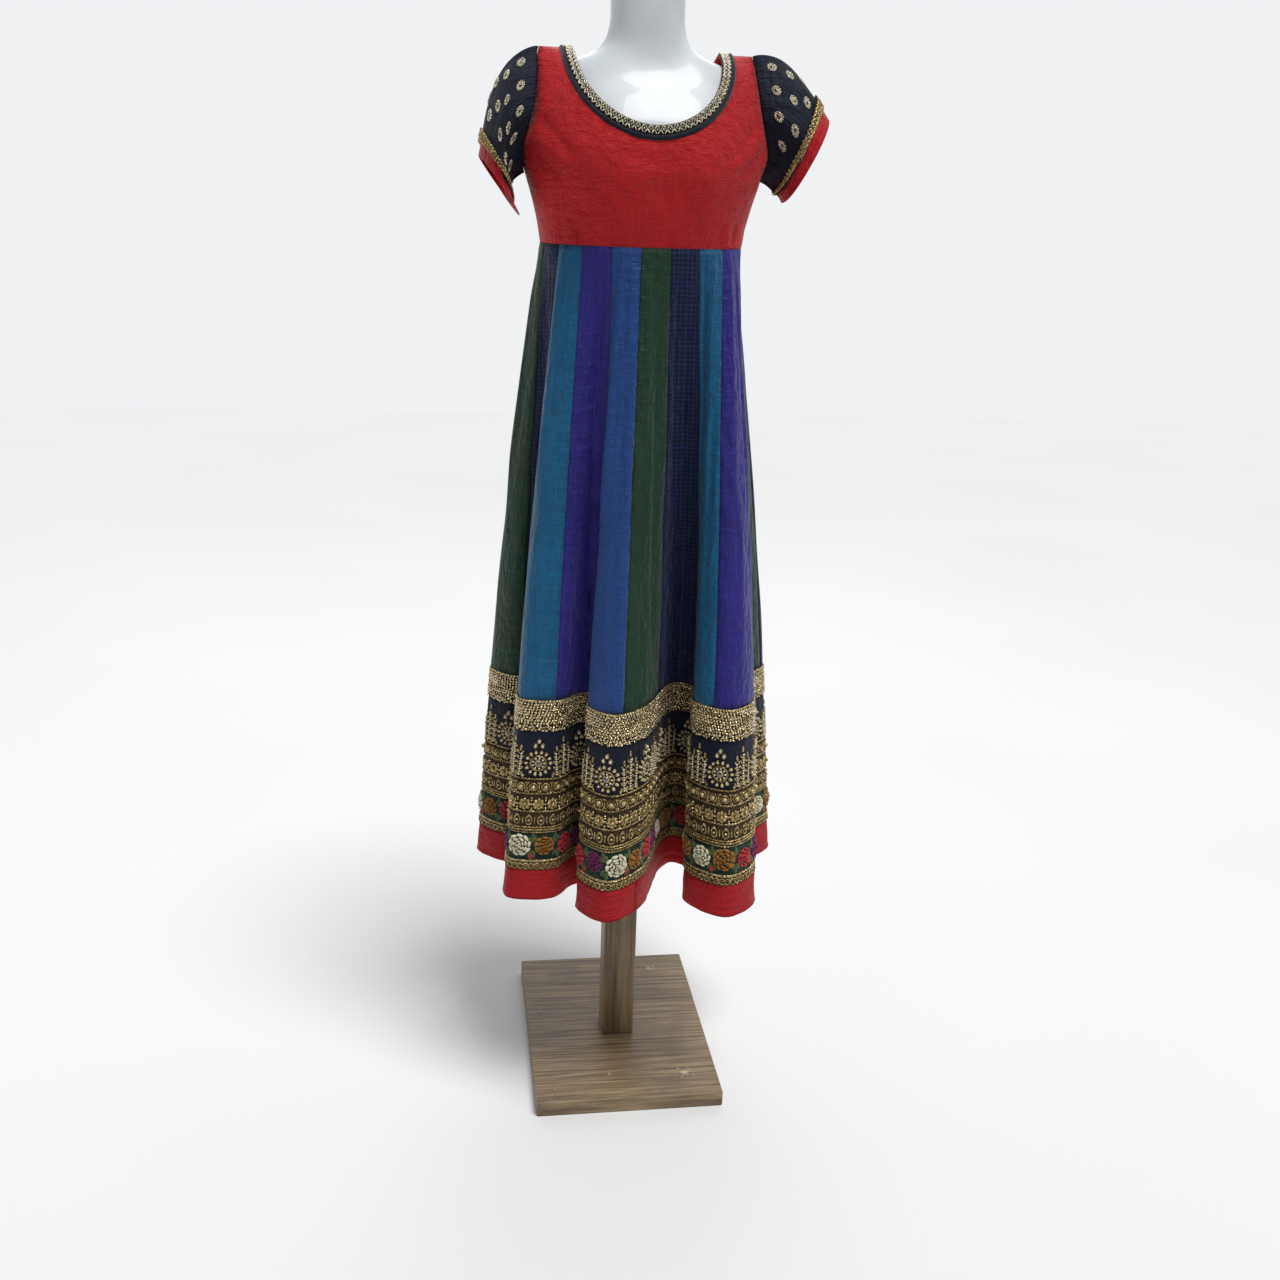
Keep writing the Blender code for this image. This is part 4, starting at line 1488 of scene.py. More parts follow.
    def navy_band(self) -> None:
        """Navy band with medallions, drops and plumes in turn."""
        low, high = self.band("border_navy", "navy_band_cloth", "silk_navy",
                              self.columns, 8,
                              lambda x, z: 0.0005 * ripple(x * 40.0, z * 60.0, 2.0))
        z = low + self.medallion_rise
        count = int(round(self.round_at(0.5 * (low + high)) / self.medallion_pitch))
        first = CUT.medallion_share + CUT.kali_turn
        medals = [Spot(first + k / count, self.share_up(z)) for k in range(count)]
        plumes = [Spot(first + (k + 0.5) / count, self.share_up(low)) for k in range(count)]
        lobe = SHOP.petal(0.0072, 0.0058, 0.0030)
        drop = SHOP.petal(0.0086, 0.0072, 0.0026)
        around = [(math.cos(2 * math.pi * k / self.lobes), math.sin(2 * math.pi * k / self.lobes),
                   360.0 * k / self.lobes) for k in range(self.lobes)]
        far = self.lobe_circle
        gold = Motif.join(SHOP.ring(0.0112, 0.0014, 20, 4), SHOP.ring(0.0046, 0.0014, 10, 4),
                          *[lobe.moved(turn=t, x=far * x, y=far * y) for x, y, t in around],
                          *[drop.moved(turn=90.0, x=x, y=y)
                            for x, y in ((-0.0052, 0.0225), (0.0052, 0.0225), (0.0, 0.0296))])
        self.lay("medallion_gold", gold, medals, "gold_thread", z)
        pearl = SHOP.bead(0.0017, 6, 4)
        far, near = self.pearl_circle, self.inner_circle
        pearls = Motif.join(*[pearl.moved(x=far * x, y=far * y, z=0.0010) for x, y, _ in around],
                            *[pearl.moved(x=near * math.cos(0.7 * k), y=near * math.sin(0.7 * k))
                              for k in range(9)],
                            *[pearl.moved(x=x, y=y, z=0.0010, scale=(1.2, 1.5, 1.2)) for x, y in (
                                (-0.0052, 0.0268), (0.0052, 0.0268), (0.0, 0.0340))])
        self.lay("medallion_pearls", pearls, medals, "pearl", z, 0.0006)
        rim = SHOP.ring(0.0037, 0.0007, 12, 4).moved(z=0.0012)
        self.lay("medallion_rims", rim, medals, "silver_bead", z, 0.0006)
        centre = SHOP.disc(0.0036, 0.0018, 10)
        self.lay("medallion_stones", centre, medals, "mirror", z, 0.0006)
        self.plumes(plumes, low)

    def plumes(self, spots: list[Spot], low: float) -> None:
        """Leafy plumes with columns of white beads between the medallions.

        Args:
            spots: the plumes' places.
            low: the band's lower edge.
        """
        bead = SHOP.bead(0.0017, 6, 4)
        step = self.plume_step
        columns = ((-0.0110, 9, 7.0), (0.0, 12, 0.0), (0.0110, 9, -7.0))
        beads = Motif.join(*[bead.moved(x=x - 0.00004 * lean * k, y=0.0055 + step * k)
                             for x, high, lean in columns for k in range(high)])
        self.lay("plume_beads", beads, spots, "pearl", low, 0.0006)
        leaf = SHOP.petal(0.0078, 0.0030, 0.0024)
        leaves = []
        for x, high, lean in columns:
            for k in range(0, high, 2):
                for side in (-1.0, 1.0):
                    leaves.append(leaf.moved(turn=90.0 - side * 34.0, x=x + side * 0.0010,
                                             y=step + step * k))
            tip = step * high + 0.0050
            leaves.append(SHOP.petal(0.0100, 0.0044, 0.0026).moved(turn=90.0 + lean, x=x, y=tip))
        leaves += [SHOP.petal(0.0060, 0.0050, 0.0028).moved(turn=90.0, x=x, y=0.0010)
                   for x in (-0.0165, -0.0055, 0.0055, 0.0165)]
        self.lay("plume_leaves", Motif.join(*leaves), spots, "gold_thread", low)

    def stone_band(self) -> None:
        """Dense gold band: square stones, a row of flowers, and couched cords."""
        low, high = self.band("border_dense_gold", "stone_band_cloth", "ground_bronze",
                              self.columns, 7, lambda x, z: 0.0 * x)
        corner = SHOP.bead(0.0017, 5, 3)
        corners = [corner.moved(x=0.0072 * a, y=0.0066 * b) for a in (-1, 1) for b in (-1, 1)]
        bar = SHOP.twist(0.0130, 0.0026, 0.0026).moved(turn=90.0, x=0.0086, y=-0.0065)
        setting = Motif.join(SHOP.ring(0.0056, 0.0013, 10, 4), bar, *corners)
        arch = Motif.join(SHOP.ring(0.0050, 0.0013, 10, 4).moved(scale=(0.9, 1.35, 1.0)), bar,
                          corner.moved(y=0.0078, scale=(1.3, 1.3, 1.3)))
        for name, z, motif, stone in (
                ("upper", high - 0.0132, setting, SHOP.bead(0.0036, 8, 5)),
                ("lower", low + 0.0180, arch, SHOP.bead(0.0022, 6, 4))):
            spots = self.rows_of(z, self.setting_pitch)
            self.lay(f"settings_{name}", motif, spots, "gold_thread", z)
            self.lay(f"stones_{name}", stone, spots, "topaz", z, 0.0003)
        z = high - 0.040
        spots = self.rows_of(z, self.flower_pitch, 0.5)
        self.lay("band_flowers", SHOP.flower(0.0096, 8), spots, "gold_thread", z)
        hearts = Motif.join(SHOP.ring(0.0024, 0.0008, 8, 4), SHOP.bead(0.0019, 6, 4))
        self.lay("band_flower_hearts", hearts, spots, "old_gold", z, 0.0022)
        fill = self.rows_of(z, self.flower_pitch)
        cross = Motif.join(*[SHOP.bead(0.0017, 6, 4).moved(x=x, y=y) for x, y in (
            (0.0, 0.006), (0.0, -0.006), (0.0, 0.0), (0.0, 0.0095), (0.0, -0.0095))])
        self.lay("band_fill_beads", cross, fill, "gold_sequin", z)
        twist = SHOP.twist(0.0070, 0.0028, 0.0030).moved(turn=17.0)
        cords = []
        for at in (high - 0.0014, high - 0.0242, low + 0.0312, low + 0.0058, low + 0.0018):
            cords += self.rows_of(at, self.cord_pitch)
        self.lay("band_cords", twist, cords, "gold_thread", 0.5 * (low + high))

    def rose_band(self) -> None:
        """Green band with wool-thread roses, buds and leaves."""
        low, high = self.band("border_roses", "rose_band_cloth", "ground_green",
                              self.columns, 6,
                              lambda x, z: 0.0004 * ripple(x * 120.0, z * 90.0, 4.0))
        middle = 0.5 * (low + high)
        colours = ("cream", "mustard", "coral", "purple")
        count = 4 * int(round(self.round_at(middle) / self.rose_pitch / 4.0))
        rose = SHOP.rose(self.rose_radius)
        first = CUT.medallion_share + CUT.kali_turn - self.rose_shift / self.round_at(middle)
        for index, colour in enumerate(colours):
            spots = []
            for k in range(count):
                if (k + (2 if k > self.ribbon_join else 0)) % 4 != index:
                    continue
                rise = 0.0022 * math.sin(1.9 * k)
                spots.append(Spot(first + k / count, self.share_up(middle + rise),
                                  37.0 * k, 0.94 + 0.08 * math.sin(2.3 * k)))
            self.lay(f"roses_{colour}", rose, spots, f"yarn_{colour}", middle)
        leaf = SHOP.petal(0.0110, 0.0054, 0.0026)
        sprig = Motif.join(*[leaf.moved(turn=t, x=x, y=y) for t, x, y in (
            (60.0, 0.0, 0.006), (125.0, 0.0, 0.005), (-60.0, 0.001, -0.006),
            (-125.0, -0.001, -0.006), (90.0, 0.0, 0.010), (-90.0, 0.0, -0.010))])
        gaps = [Spot(first + (k + 0.5) / count, self.share_up(middle), 9.0 * math.sin(3.0 * k))
                for k in range(count)]
        self.lay("rose_leaves", sprig, gaps, "yarn_leaf", middle)
        bud = SHOP.flower(0.0052, 5)
        buds = [Spot(first + (k + 0.5) / count,
                     self.share_up(middle + (0.0155 if k % 2 else -0.0150)), 30.0 * k)
                for k in range(0, count, 2)]
        self.lay("rose_buds", bud, buds, "yarn_coral", middle, 0.0006)
        edge = SHOP.twist(0.0056, 0.0024, 0.0024)
        edges = self.rows_of(high - 0.001, self.edge_pitch)
        edges += self.rows_of(low + 0.001, self.edge_pitch)
        self.lay("rose_band_edges", edge, edges, "gold_thread", middle)

    def edging(self) -> None:
        """Narrow gold edging of small loops, scalloped below."""
        low, high = self.band("border_edging", "edging_cloth", "ground_gold",
                              self.columns, 3, lambda x, z: 0.0 * x)
        loops = Motif.join(SHOP.ring(0.0042, 0.0011, 8, 3).moved(y=-0.0005),
                           SHOP.ring(0.0022, 0.0008, 6, 3).moved(y=0.0012),
                           SHOP.bead(0.0013, 5, 3).moved(y=-0.0052))
        middle = 0.5 * (low + high)
        self.lay("edging_loops", loops, self.rows_of(middle, self.loop_pitch), "gold_thread",
                 middle, 0.0002)
        twist = SHOP.twist(0.0050, 0.0024, 0.0026).moved(turn=20.0)
        self.lay("edging_cord", twist, self.rows_of(high - 0.0012, self.edging_pitch),
                 "gold_sequin", high)

    def hem(self) -> None:
        """Red hem band, quilted with close rows of running stitch."""
        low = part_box("hem_band")[0][2]

        def stitched(x: Array, z: Array) -> Array:
            """Soft puckers between the stitch rows, and a rolled lower edge."""
            return 0.0008 * ripple(x * 30.0, z * 40.0, 6.0) + 0.0008 * bell(z, low, 0.003)

        self.band("hem_band", "hem_cloth", "silk_quilted", self.hem_columns,
                  11, stitched)

    def build(self) -> None:
        """Makes every band."""
        self.gold_band()
        self.navy_band()
        self.stone_band()
        self.rose_band()
        self.edging()
        self.hem()


# ------------------------------------------------------------------ the bodice
@dataclass(frozen=True)
class Drag:
    """A drag line of the bodice, between two points given across and up from the centre."""

    side: float
    x0: float
    z0: float
    x1: float
    z1: float
    depth: float
    width: float


DRAGS = (
    Drag(-1.0, 0.150, 1.470, 0.108, 1.425, -0.0034, 0.0060),
    Drag(-1.0, 0.153, 1.450, 0.112, 1.412, 0.0022, 0.0050),
    Drag(-1.0, 0.158, 1.432, 0.118, 1.398, -0.0030, 0.0060),
    Drag(-1.0, 0.100, 1.392, 0.085, 1.345, -0.0016, 0.0080),
    Drag(-1.0, -0.150, 1.468, -0.110, 1.420, -0.0030, 0.0060),
    Drag(-1.0, -0.155, 1.440, -0.114, 1.405, 0.0022, 0.0055),
    Drag(-1.0, -0.158, 1.425, -0.122, 1.390, -0.0028, 0.0060),
    Drag(-1.0, 0.030, 1.415, -0.034, 1.418, -0.0012, 0.0090),
    Drag(-1.0, 0.120, 1.338, 0.118, 1.308, -0.0034, 0.0030),
    Drag(-1.0, 0.108, 1.336, 0.107, 1.308, 0.0018, 0.0028),
    Drag(-1.0, 0.097, 1.332, 0.097, 1.308, -0.0026, 0.0028),
    Drag(-1.0, -0.120, 1.338, -0.118, 1.308, -0.0034, 0.0030),
    Drag(-1.0, -0.108, 1.334, -0.107, 1.308, 0.0018, 0.0028),
    Drag(-1.0, -0.097, 1.332, -0.097, 1.308, -0.0026, 0.0028),
    Drag(1.0, 0.150, 1.470, 0.100, 1.440, -0.0028, 0.0070),
    Drag(1.0, -0.150, 1.466, -0.104, 1.436, -0.0028, 0.0070),
    Drag(1.0, 0.100, 1.340, 0.098, 1.308, -0.0028, 0.0035),
    Drag(1.0, -0.100, 1.340, -0.098, 1.308, -0.0028, 0.0035),
    Drag(1.0, 0.060, 1.400, -0.050, 1.392, -0.0014, 0.0100),
)


@dataclass
class Bodice:
    """Raw silk bodice, front and back, with its neck trims."""

    columns: int = 96
    rows: int = 70
    half_run: float = 0.38
    front_cut: tuple[float, float] = (0.42, 0.27)
    back_cut: tuple[float, float] = (0.40, 0.27)
    cut_share: float = 0.76
    edge_hold: float = 0.03
    neck_trim: float = 0.0190
    neck_columns: int = 420
    bead_trim: float = 0.012
    twist_pitch: float = 0.0022
    chevron_pitch: float = 0.0086

    def relief(self, side: float, points: Array) -> Array:
        """Height of drag lines and slow ripples above the plain form.

        Args:
            side: -1 for the front, 1 for the back.
            points: the plain form.

        Returns:
            The heights off it.
        """
        x, z = points[..., 0], points[..., 2]
        out = 0.0008 * ripple(x * 26.0, z * 30.0, 2.0 + side)
        for drag in DRAGS:
            if drag.side != side:
                continue
            ax, az = drag.x1 - drag.x0, drag.z1 - drag.z0
            length = math.hypot(ax, az)
            along = ((x - drag.x0) * ax + (z - drag.z0) * az) / length ** 2
            away = ((x - drag.x0) * az - (z - drag.z0) * ax) / length
            fade = np.exp(-np.maximum(np.abs(along - 0.5) - 0.36, 0.0) ** 2 / 0.03)
            out = out + drag.depth * bell(away, 0.0, drag.width) * fade
        return out

    def half(self, side: float, name: str) -> None:
        """Makes the front or the back.

        Args:
            side: -1 for the front, 1 for the back.
            name: its CAD node.
        """
        patch = bodice_patch(side)
        u, v = np.meshgrid(np.linspace(0.0, 1.0, self.columns), np.linspace(0.0, 1.0, self.rows))
        points, normals = patch.read(u, v)
        edge = np.minimum(np.minimum(u, 1.0 - u), np.minimum(v, 1.0 - v))
        hold = np.clip(edge / self.edge_hold, 0.0, 1.0)
        points = points + normals * (self.relief(side, points) * hold)[..., None]
        uv = np.stack([(u - 0.5) * self.half_run, points[..., 2]], axis=-1)
        if side > 0.0:
            points, normals, uv = points[:, ::-1], normals[:, ::-1], uv[:, ::-1]
        piece = shell(f"silk_{name}", points, normals, uv, False, "raw_silk_red")
        self.keep_seam(piece, side)
        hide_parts(name)

    def keep_seam(self, piece: bpy.types.Object, side: float) -> None:
        """Keeps a half on its own side of the seams.

        Args:
            piece: the half.
            side: -1 for the front, 1 for the back.
        """
        count = len(piece.data.vertices)
        flat = np.empty(count * 3)
        piece.data.vertices.foreach_get("co", flat)
        places = flat.reshape(-1, 3)
        gap = 0.5 * SEAM_GAP
        places[:, 1] = np.minimum(places[:, 1], -gap) if side < 0 else np.maximum(places[:, 1], gap)
        places[:, 2] = np.maximum(places[:, 2], CUT.empire + gap)
        piece.data.vertices.foreach_set("co", places.ravel())

    def neck(self) -> None:
        """Bead chevrons and a navy rolled band round the neck."""
        patch = neck_patch(self.neck_trim)
        run = patch.run(0.4)
        even = self.even_shares(patch, 0.4)
        ground = (("neck_trim", "neck_bead_ground", 0.0, 0.63, "ground_dark", 0.0020),
                  ("neck_band", "neck_navy_band", 0.66, 1.0, "thread_navy", 0.0030))
        for node, name, low, high, finish, puff in ground:
            u, v = np.meshgrid(np.arange(self.neck_columns) / self.neck_columns,
                               np.linspace(low, high, 5))
            points, normals = patch.read(u, v)
            round_up = np.sin(np.pi * (v - low) / (high - low)) ** 0.6
            twist = 1.0 + 0.10 * np.sin(u * run / self.twist_pitch * 2 * np.pi + v * 20.0)
            points = points + normals * (0.0010 + (puff - 0.0010) * round_up * twist)[..., None]
            uv = np.stack([u * run, v * self.neck_trim], axis=-1)
            piece = shell(name, points[:, ::-1], normals[:, ::-1], uv[:, ::-1], True, finish,
                          0.0008)
            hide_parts(node)
        bead = SHOP.petal(0.0070, 0.0022, 0.0030)
        chevron = Motif.join(bead.moved(turn=52.0), bead.moved(turn=128.0))
        count = int(run / self.chevron_pitch)
        spots = [Spot(float(even((k + 0.5 * row) / count)), 0.05 + 0.30 * row)
                 for row in range(2) for k in range(count)]
        piece = scatter("neck_chevrons", patch, chevron, spots, "bead_cream", run,
                        self.neck_trim, 0.0020)
        spots = [Spot(float(even((k + 0.5) / count)), 0.08) for k in range(count)]
        spots += [Spot(float(even(k / count)), 0.36) for k in range(count)]
        piece = scatter("neck_beads", patch, SHOP.bead(0.0014, 6, 4), spots, "silver_bead", run,
                        self.neck_trim, 0.0022)
        edge = SHOP.twist(0.0040, 0.0020, 0.0022).moved(turn=15.0)
        spots = [Spot(float(even(k / (2 * count))), 0.03) for k in range(2 * count)]
        piece = scatter("neck_edge_cord", patch, edge, spots, "thread_navy", run,
                        self.neck_trim, 0.0014)

    def even_shares(self, patch: Patch, v: float) -> Callable[[float], float]:
        """A way from a share of the length round the patch to its own share.

        Args:
            patch: the patch.
            v: the share up it.

        Returns:
            The function.
        """
        u = np.linspace(0.0, 0.999999, 1600)
        points = patch.read(u, np.full(1600, v))[0]
        steps = np.linalg.norm(np.diff(points, axis=0), axis=1)
        run = np.concatenate([[0.0], np.cumsum(steps)])
        return lambda share: np.interp((share % 1.0) * run[-1], run, u)

    def build(self) -> None:
        """Makes both halves and the neck."""
        self.half(-1.0, "bodice_front")
        self.half(1.0, "bodice_back")
        self.neck()


# ------------------------------------------------------------------ the sleeves
@dataclass
class Sleeve:
    """A short sleeve with mirror rings, a gold braid and a red cuff."""

    name: str
    side: float
    centre: tuple[float, float, float]
    lean: float
    half_height: float
    half_depth: float
    puff: float
    ring_phases: tuple[float, ...] = (0.88, 0.78, 0.15, 0.60)
    cuff: float = 0.0190
    braid: float = 0.0095
    set_out: float = 0.0009
    crown: float = 0.022
    loop_pitch: float = 0.0068
    ring_pitch: float = 0.0370
    ring_row: float = 0.0275
    first_ring: float = 0.022
    ring_margin: float = 0.0085
    ring_petals: int = 11
    columns: int = 112

    def surface(self) -> Patch:
        """The sleeve's outside, once round from the underarm, from the armhole outwards.

        Returns:
            The patch.
        """
        share, reach = np.meshgrid(np.arange(240) / 240, np.linspace(0.0, 1.0, 81))
        up = 2.0 * np.minimum(share, 1.0 - share)
        rise = CUT.underarm_rise + up * (1.0 - CUT.underarm_rise)
        front = bodice_points(-1.0, self.side + 0.0 * share, rise)
        back = bodice_points(1.0, self.side + 0.0 * share, rise)
        start = np.where((share <= 0.5)[..., None], front, back)
        start = start + np.array([self.side * self.set_out, 0.0, 0.0])
        turn = 2.0 * np.pi * share
        lean = math.radians(self.lean)
        axis = np.array([self.side * math.sin(lean), 0.0, math.cos(lean)])
        depth = -np.sin(turn) * self.half_depth
        stop = np.array(self.centre) - np.cos(turn)[..., None] * self.half_height * axis
        stop = stop + depth[..., None] * np.array([0.0, 1.0, 0.0])
        top = 0.5 - 0.5 * np.cos(turn)
        swell = np.stack([self.side * self.puff + 0.0 * top, depth * 0.12, self.crown * top],
                         axis=-1)
        r = reach[..., None]
        points = start * (1 - r) + stop * r + swell * np.sin(np.pi * r ** 0.8)
        return Patch(points, True, -self.side)

    def relief(self, share: Array, reach: Array) -> Array:
        """Gathers at the armhole and soft drag folds of the sleeve.

        Args:
            share: shares round the sleeve.
            reach: shares along it.

        Returns:
            The heights off the plain form.
        """
        fade = np.sin(np.pi * np.clip(reach, 0.0, 1.0)) ** 0.7
        out = 0.0012 * ripple(share * 9.0, reach * 3.0, 5.0 + self.side) * fade
        for place, depth, width in ((0.16, -0.0040, 0.030), (0.24, 0.0026, 0.030),
                                    (0.33, -0.0022, 0.024), (0.70, -0.0030, 0.030),
                                    (0.80, 0.0022, 0.026), (0.90, -0.0026, 0.030)):
            out = out + depth * bell(share - 0.06 * reach, place, width) * fade
        return out

    def part(self, patch: Patch, node: str, name: str, finish: str, slot: str, rows: int,
             edges: tuple[Callable[[Array], Array], Callable[[Array], Array]],
             lift: float = 0.0) -> None:
        """Makes one stretch of the sleeve between two edges.

        Args:
            patch: the sleeve's surface.
            node: the CAD node that it replaces.
            name: the piece's name.
            finish: its finish.
            slot: not used.
            rows: points along it.
            edges: its two edges, from the sleeve's lengths.
            lift: extra distance off the surface.
        """
        share = (np.arange(self.columns) / self.columns)[None]
        t = np.linspace(0.0, 1.0, rows)[:, None]
        lengths = self.lengths(patch)[None]
        reach = edges[0](lengths) * (1 - t) + edges[1](lengths) * t
        share = np.broadcast_to(share, reach.shape)
        points, normals = patch.read(share, reach)
        points = points + normals * (self.relief(share, reach) + lift)[..., None]
        loop = np.linalg.norm(points[rows // 2] - np.roll(points[rows // 2], 1, axis=0), axis=1)
        around = float(loop.sum())
        uv = np.stack([share * around, reach * lengths.mean()], axis=-1)
        if self.side < 0.0:
            piece = shell(name, points, normals, uv, True, finish)
        else:
            piece = shell(name, points[::-1], normals[::-1], uv[::-1], True, finish)
        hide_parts(node)

    def lengths(self, patch: Patch) -> Array:
        """Length of the sleeve along each of its lines.

        Args:
            patch: the sleeve's surface.

        Returns:
            The lengths.
        """
        share = np.broadcast_to(np.arange(self.columns) / self.columns, (25, self.columns))
        reach = np.broadcast_to(np.linspace(0.0, 1.0, 25)[:, None], share.shape)
        points = patch.read(share, reach)[0]
        return np.linalg.norm(np.diff(points, axis=0), axis=2).sum(axis=0)

    def build(self) -> None:
        """Makes the sleeve, its braid, its cuff and its mirror rings."""
        patch = self.surface()
        trim = self.cuff + self.braid
        self.part(patch, f"sleeve_{self.name}", f"silk_sleeve_{self.name}", "silk_navy",
                  "silk_navy", 46, (lambda n: 0.0 * n, lambda n: 1.0 - self.cuff / n))
        self.part(patch, f"sleeve_cuff_{self.name}", f"silk_cuff_{self.name}", "silk_red",
                  "silk_red", 12, (lambda n: 1.0 - (self.cuff - 0.0003) / n, lambda n: 0.0 * n + 1))
        self.part(patch, f"sleeve_braid_{self.name}", f"braid_{self.name}_ground", "ground_dark",
                  "gold_braid", 6, (lambda n: 1.0 - trim / n, lambda n: 1.0 - self.cuff / n),
                  0.0016)
        self.braid_loops(patch)
        self.rings(patch)

    def braid_loops(self, patch: Patch) -> None:
        """Rows of small gold loops along the braid.

        Args:
            patch: the sleeve's surface.
        """
        lengths = self.lengths(patch)
        around = patch.run(0.85)
        count = int(around / self.loop_pitch)
        spots = []
        for k in range(count):
            share = k / count
            length = float(lengths[int(share * self.columns) % self.columns])
            spots.append(Spot(share, 1.0 - (self.cuff + 0.5 * self.braid) / length))
        loops = Motif.join(SHOP.ring(0.0036, 0.0014, 10, 4), SHOP.bead(0.0019, 6, 4),
                           SHOP.bead(0.0015, 6, 4).moved(x=0.0036, y=0.0042),
                           SHOP.bead(0.0015, 6, 4).moved(x=0.0036, y=-0.0042))
        piece = scatter(f"braid_{self.name}_loops", patch, loops, spots, "gold_thread", around,
                        float(lengths.mean()), 0.0018)

    def rings(self, patch: Patch) -> None:
        """Mirror rings in rows that follow the armhole, clear of the braid.

        Args:
            patch: the sleeve's surface.
        """
        lengths = self.lengths(patch)
        around = patch.run(0.2)
        count = int(around / self.ring_pitch)
        spots = []
        for row, phase in enumerate(self.ring_phases):
            for k in range(count):
                share = (k + phase) / count
                length = float(lengths[int(share * self.columns) % self.columns])
                distance = self.first_ring + row * self.ring_row
                if length - distance > self.cuff + self.braid + self.ring_margin:
                    spots.append(Spot(share, distance / length, 20.0 * k))
        petal = SHOP.petal(0.0036, 0.0030, 0.0022)
        turns = [2 * math.pi * k / self.ring_petals for k in range(self.ring_petals)]
        thread = Motif.join(SHOP.ring(0.0035, 0.0009, 12, 4), *[
            petal.moved(turn=math.degrees(t), x=0.0040 * math.cos(t), y=0.0040 * math.sin(t))
            for t in turns])
        for name, motif, finish, lift in (
                ("thread", thread, "bead_cream", 0.0),
                ("mirror", SHOP.disc(0.0023, 0.0008, 10), "mirror", 0.0004)):
            piece = self.lay_on_relief(patch, f"rings_{self.name}_{name}", motif, spots, finish,
                                       lengths, lift)

    def lay_on_relief(self, patch: Patch, name: str, motif: Motif, spots: list[Spot],
                      finish: str, lengths: Array, lift: float) -> bpy.types.Object:
        """Lays motifs one by one, each on the crumpled cloth under it.

        Args:
            patch: the sleeve's surface.
            name: the piece's name.
            motif: the shape.
            spots: its places.
            finish: its finish.
            lengths: the sleeve's length on each line.
            lift: extra distance off the cloth.

        Returns:
            The object.
        """
        vertices, faces = [], []
        for spot in spots:
            length = float(lengths[int(spot.u * self.columns) % self.columns])
            loop = patch.read(np.arange(200) / 200, np.full(200, spot.v))[0]
            around = float(np.linalg.norm(loop - np.roll(loop, 1, axis=0), axis=1).sum())
            turned = motif.moved(turn=spot.turn).vertices
            u = spot.u + turned[:, 0] / around
            v = spot.v + turned[:, 1] / length
            points, normals = patch.read(u, v)
            rise = self.relief(u % 1.0, v) + turned[:, 2] + lift
            faces += [tuple(i + len(vertices) * len(motif.vertices) for i in f)
                      for f in motif.faces]
            vertices.append(points + normals * rise[:, None])
        return new_piece(name, np.concatenate(vertices), faces, finish)


# ------------------------------------------------------------------ form and stand
@dataclass
class DressForm:
    """The white torso, and the wooden post and board under it."""

    columns: int = 64
    rows: int = 110

    def build(self) -> None:
        """Makes the smooth torso, and gives the wooden pieces their finish."""
        low, high = FORM_SECTIONS[0, 0], FORM_SECTIONS[-1, 0]
        z = np.linspace(low, high, self.rows)[:, None]
        bearing = (np.arange(self.columns) * 360.0 / self.columns)[None]
        bearing, z = np.broadcast_arrays(bearing, z)
        points = section_points(FORM_SECTIONS, bearing, z)
        ends = [points[0].mean(axis=0), points[-1].mean(axis=0)]
        r, c = np.meshgrid(np.arange(self.rows - 1), np.arange(self.columns), indexing="ij")
        n = (c + 1) % self.columns
        faces = np.stack([r * self.columns + c, r * self.columns + n,
                          (r + 1) * self.columns + n, (r + 1) * self.columns + c], axis=-1)
        total = self.rows * self.columns
        caps = [(total, (k + 1) % self.columns, k) for k in range(self.columns)]
        top = total - self.columns
        caps += [(total + 1, top + k, top + (k + 1) % self.columns) for k in range(self.columns)]
        vertices = np.concatenate([points.reshape(-1, 3), ends])
        piece = new_piece("form_torso", vertices, faces.reshape(-1, 4).tolist() + caps,
                          "form_white")
        deselect()
        piece.select_set(True)
        bpy.context.view_layer.objects.active = piece
        bpy.ops.object.shade_smooth_by_angle(angle=math.radians(50.0))
        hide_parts("dress_form")
        for node, finish in (("post", "wood_post"), ("base_board", "wood_board")):
            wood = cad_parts[node]
            wood.data.materials.clear()
            wood.data.materials.append(WARDROBE.get(finish))


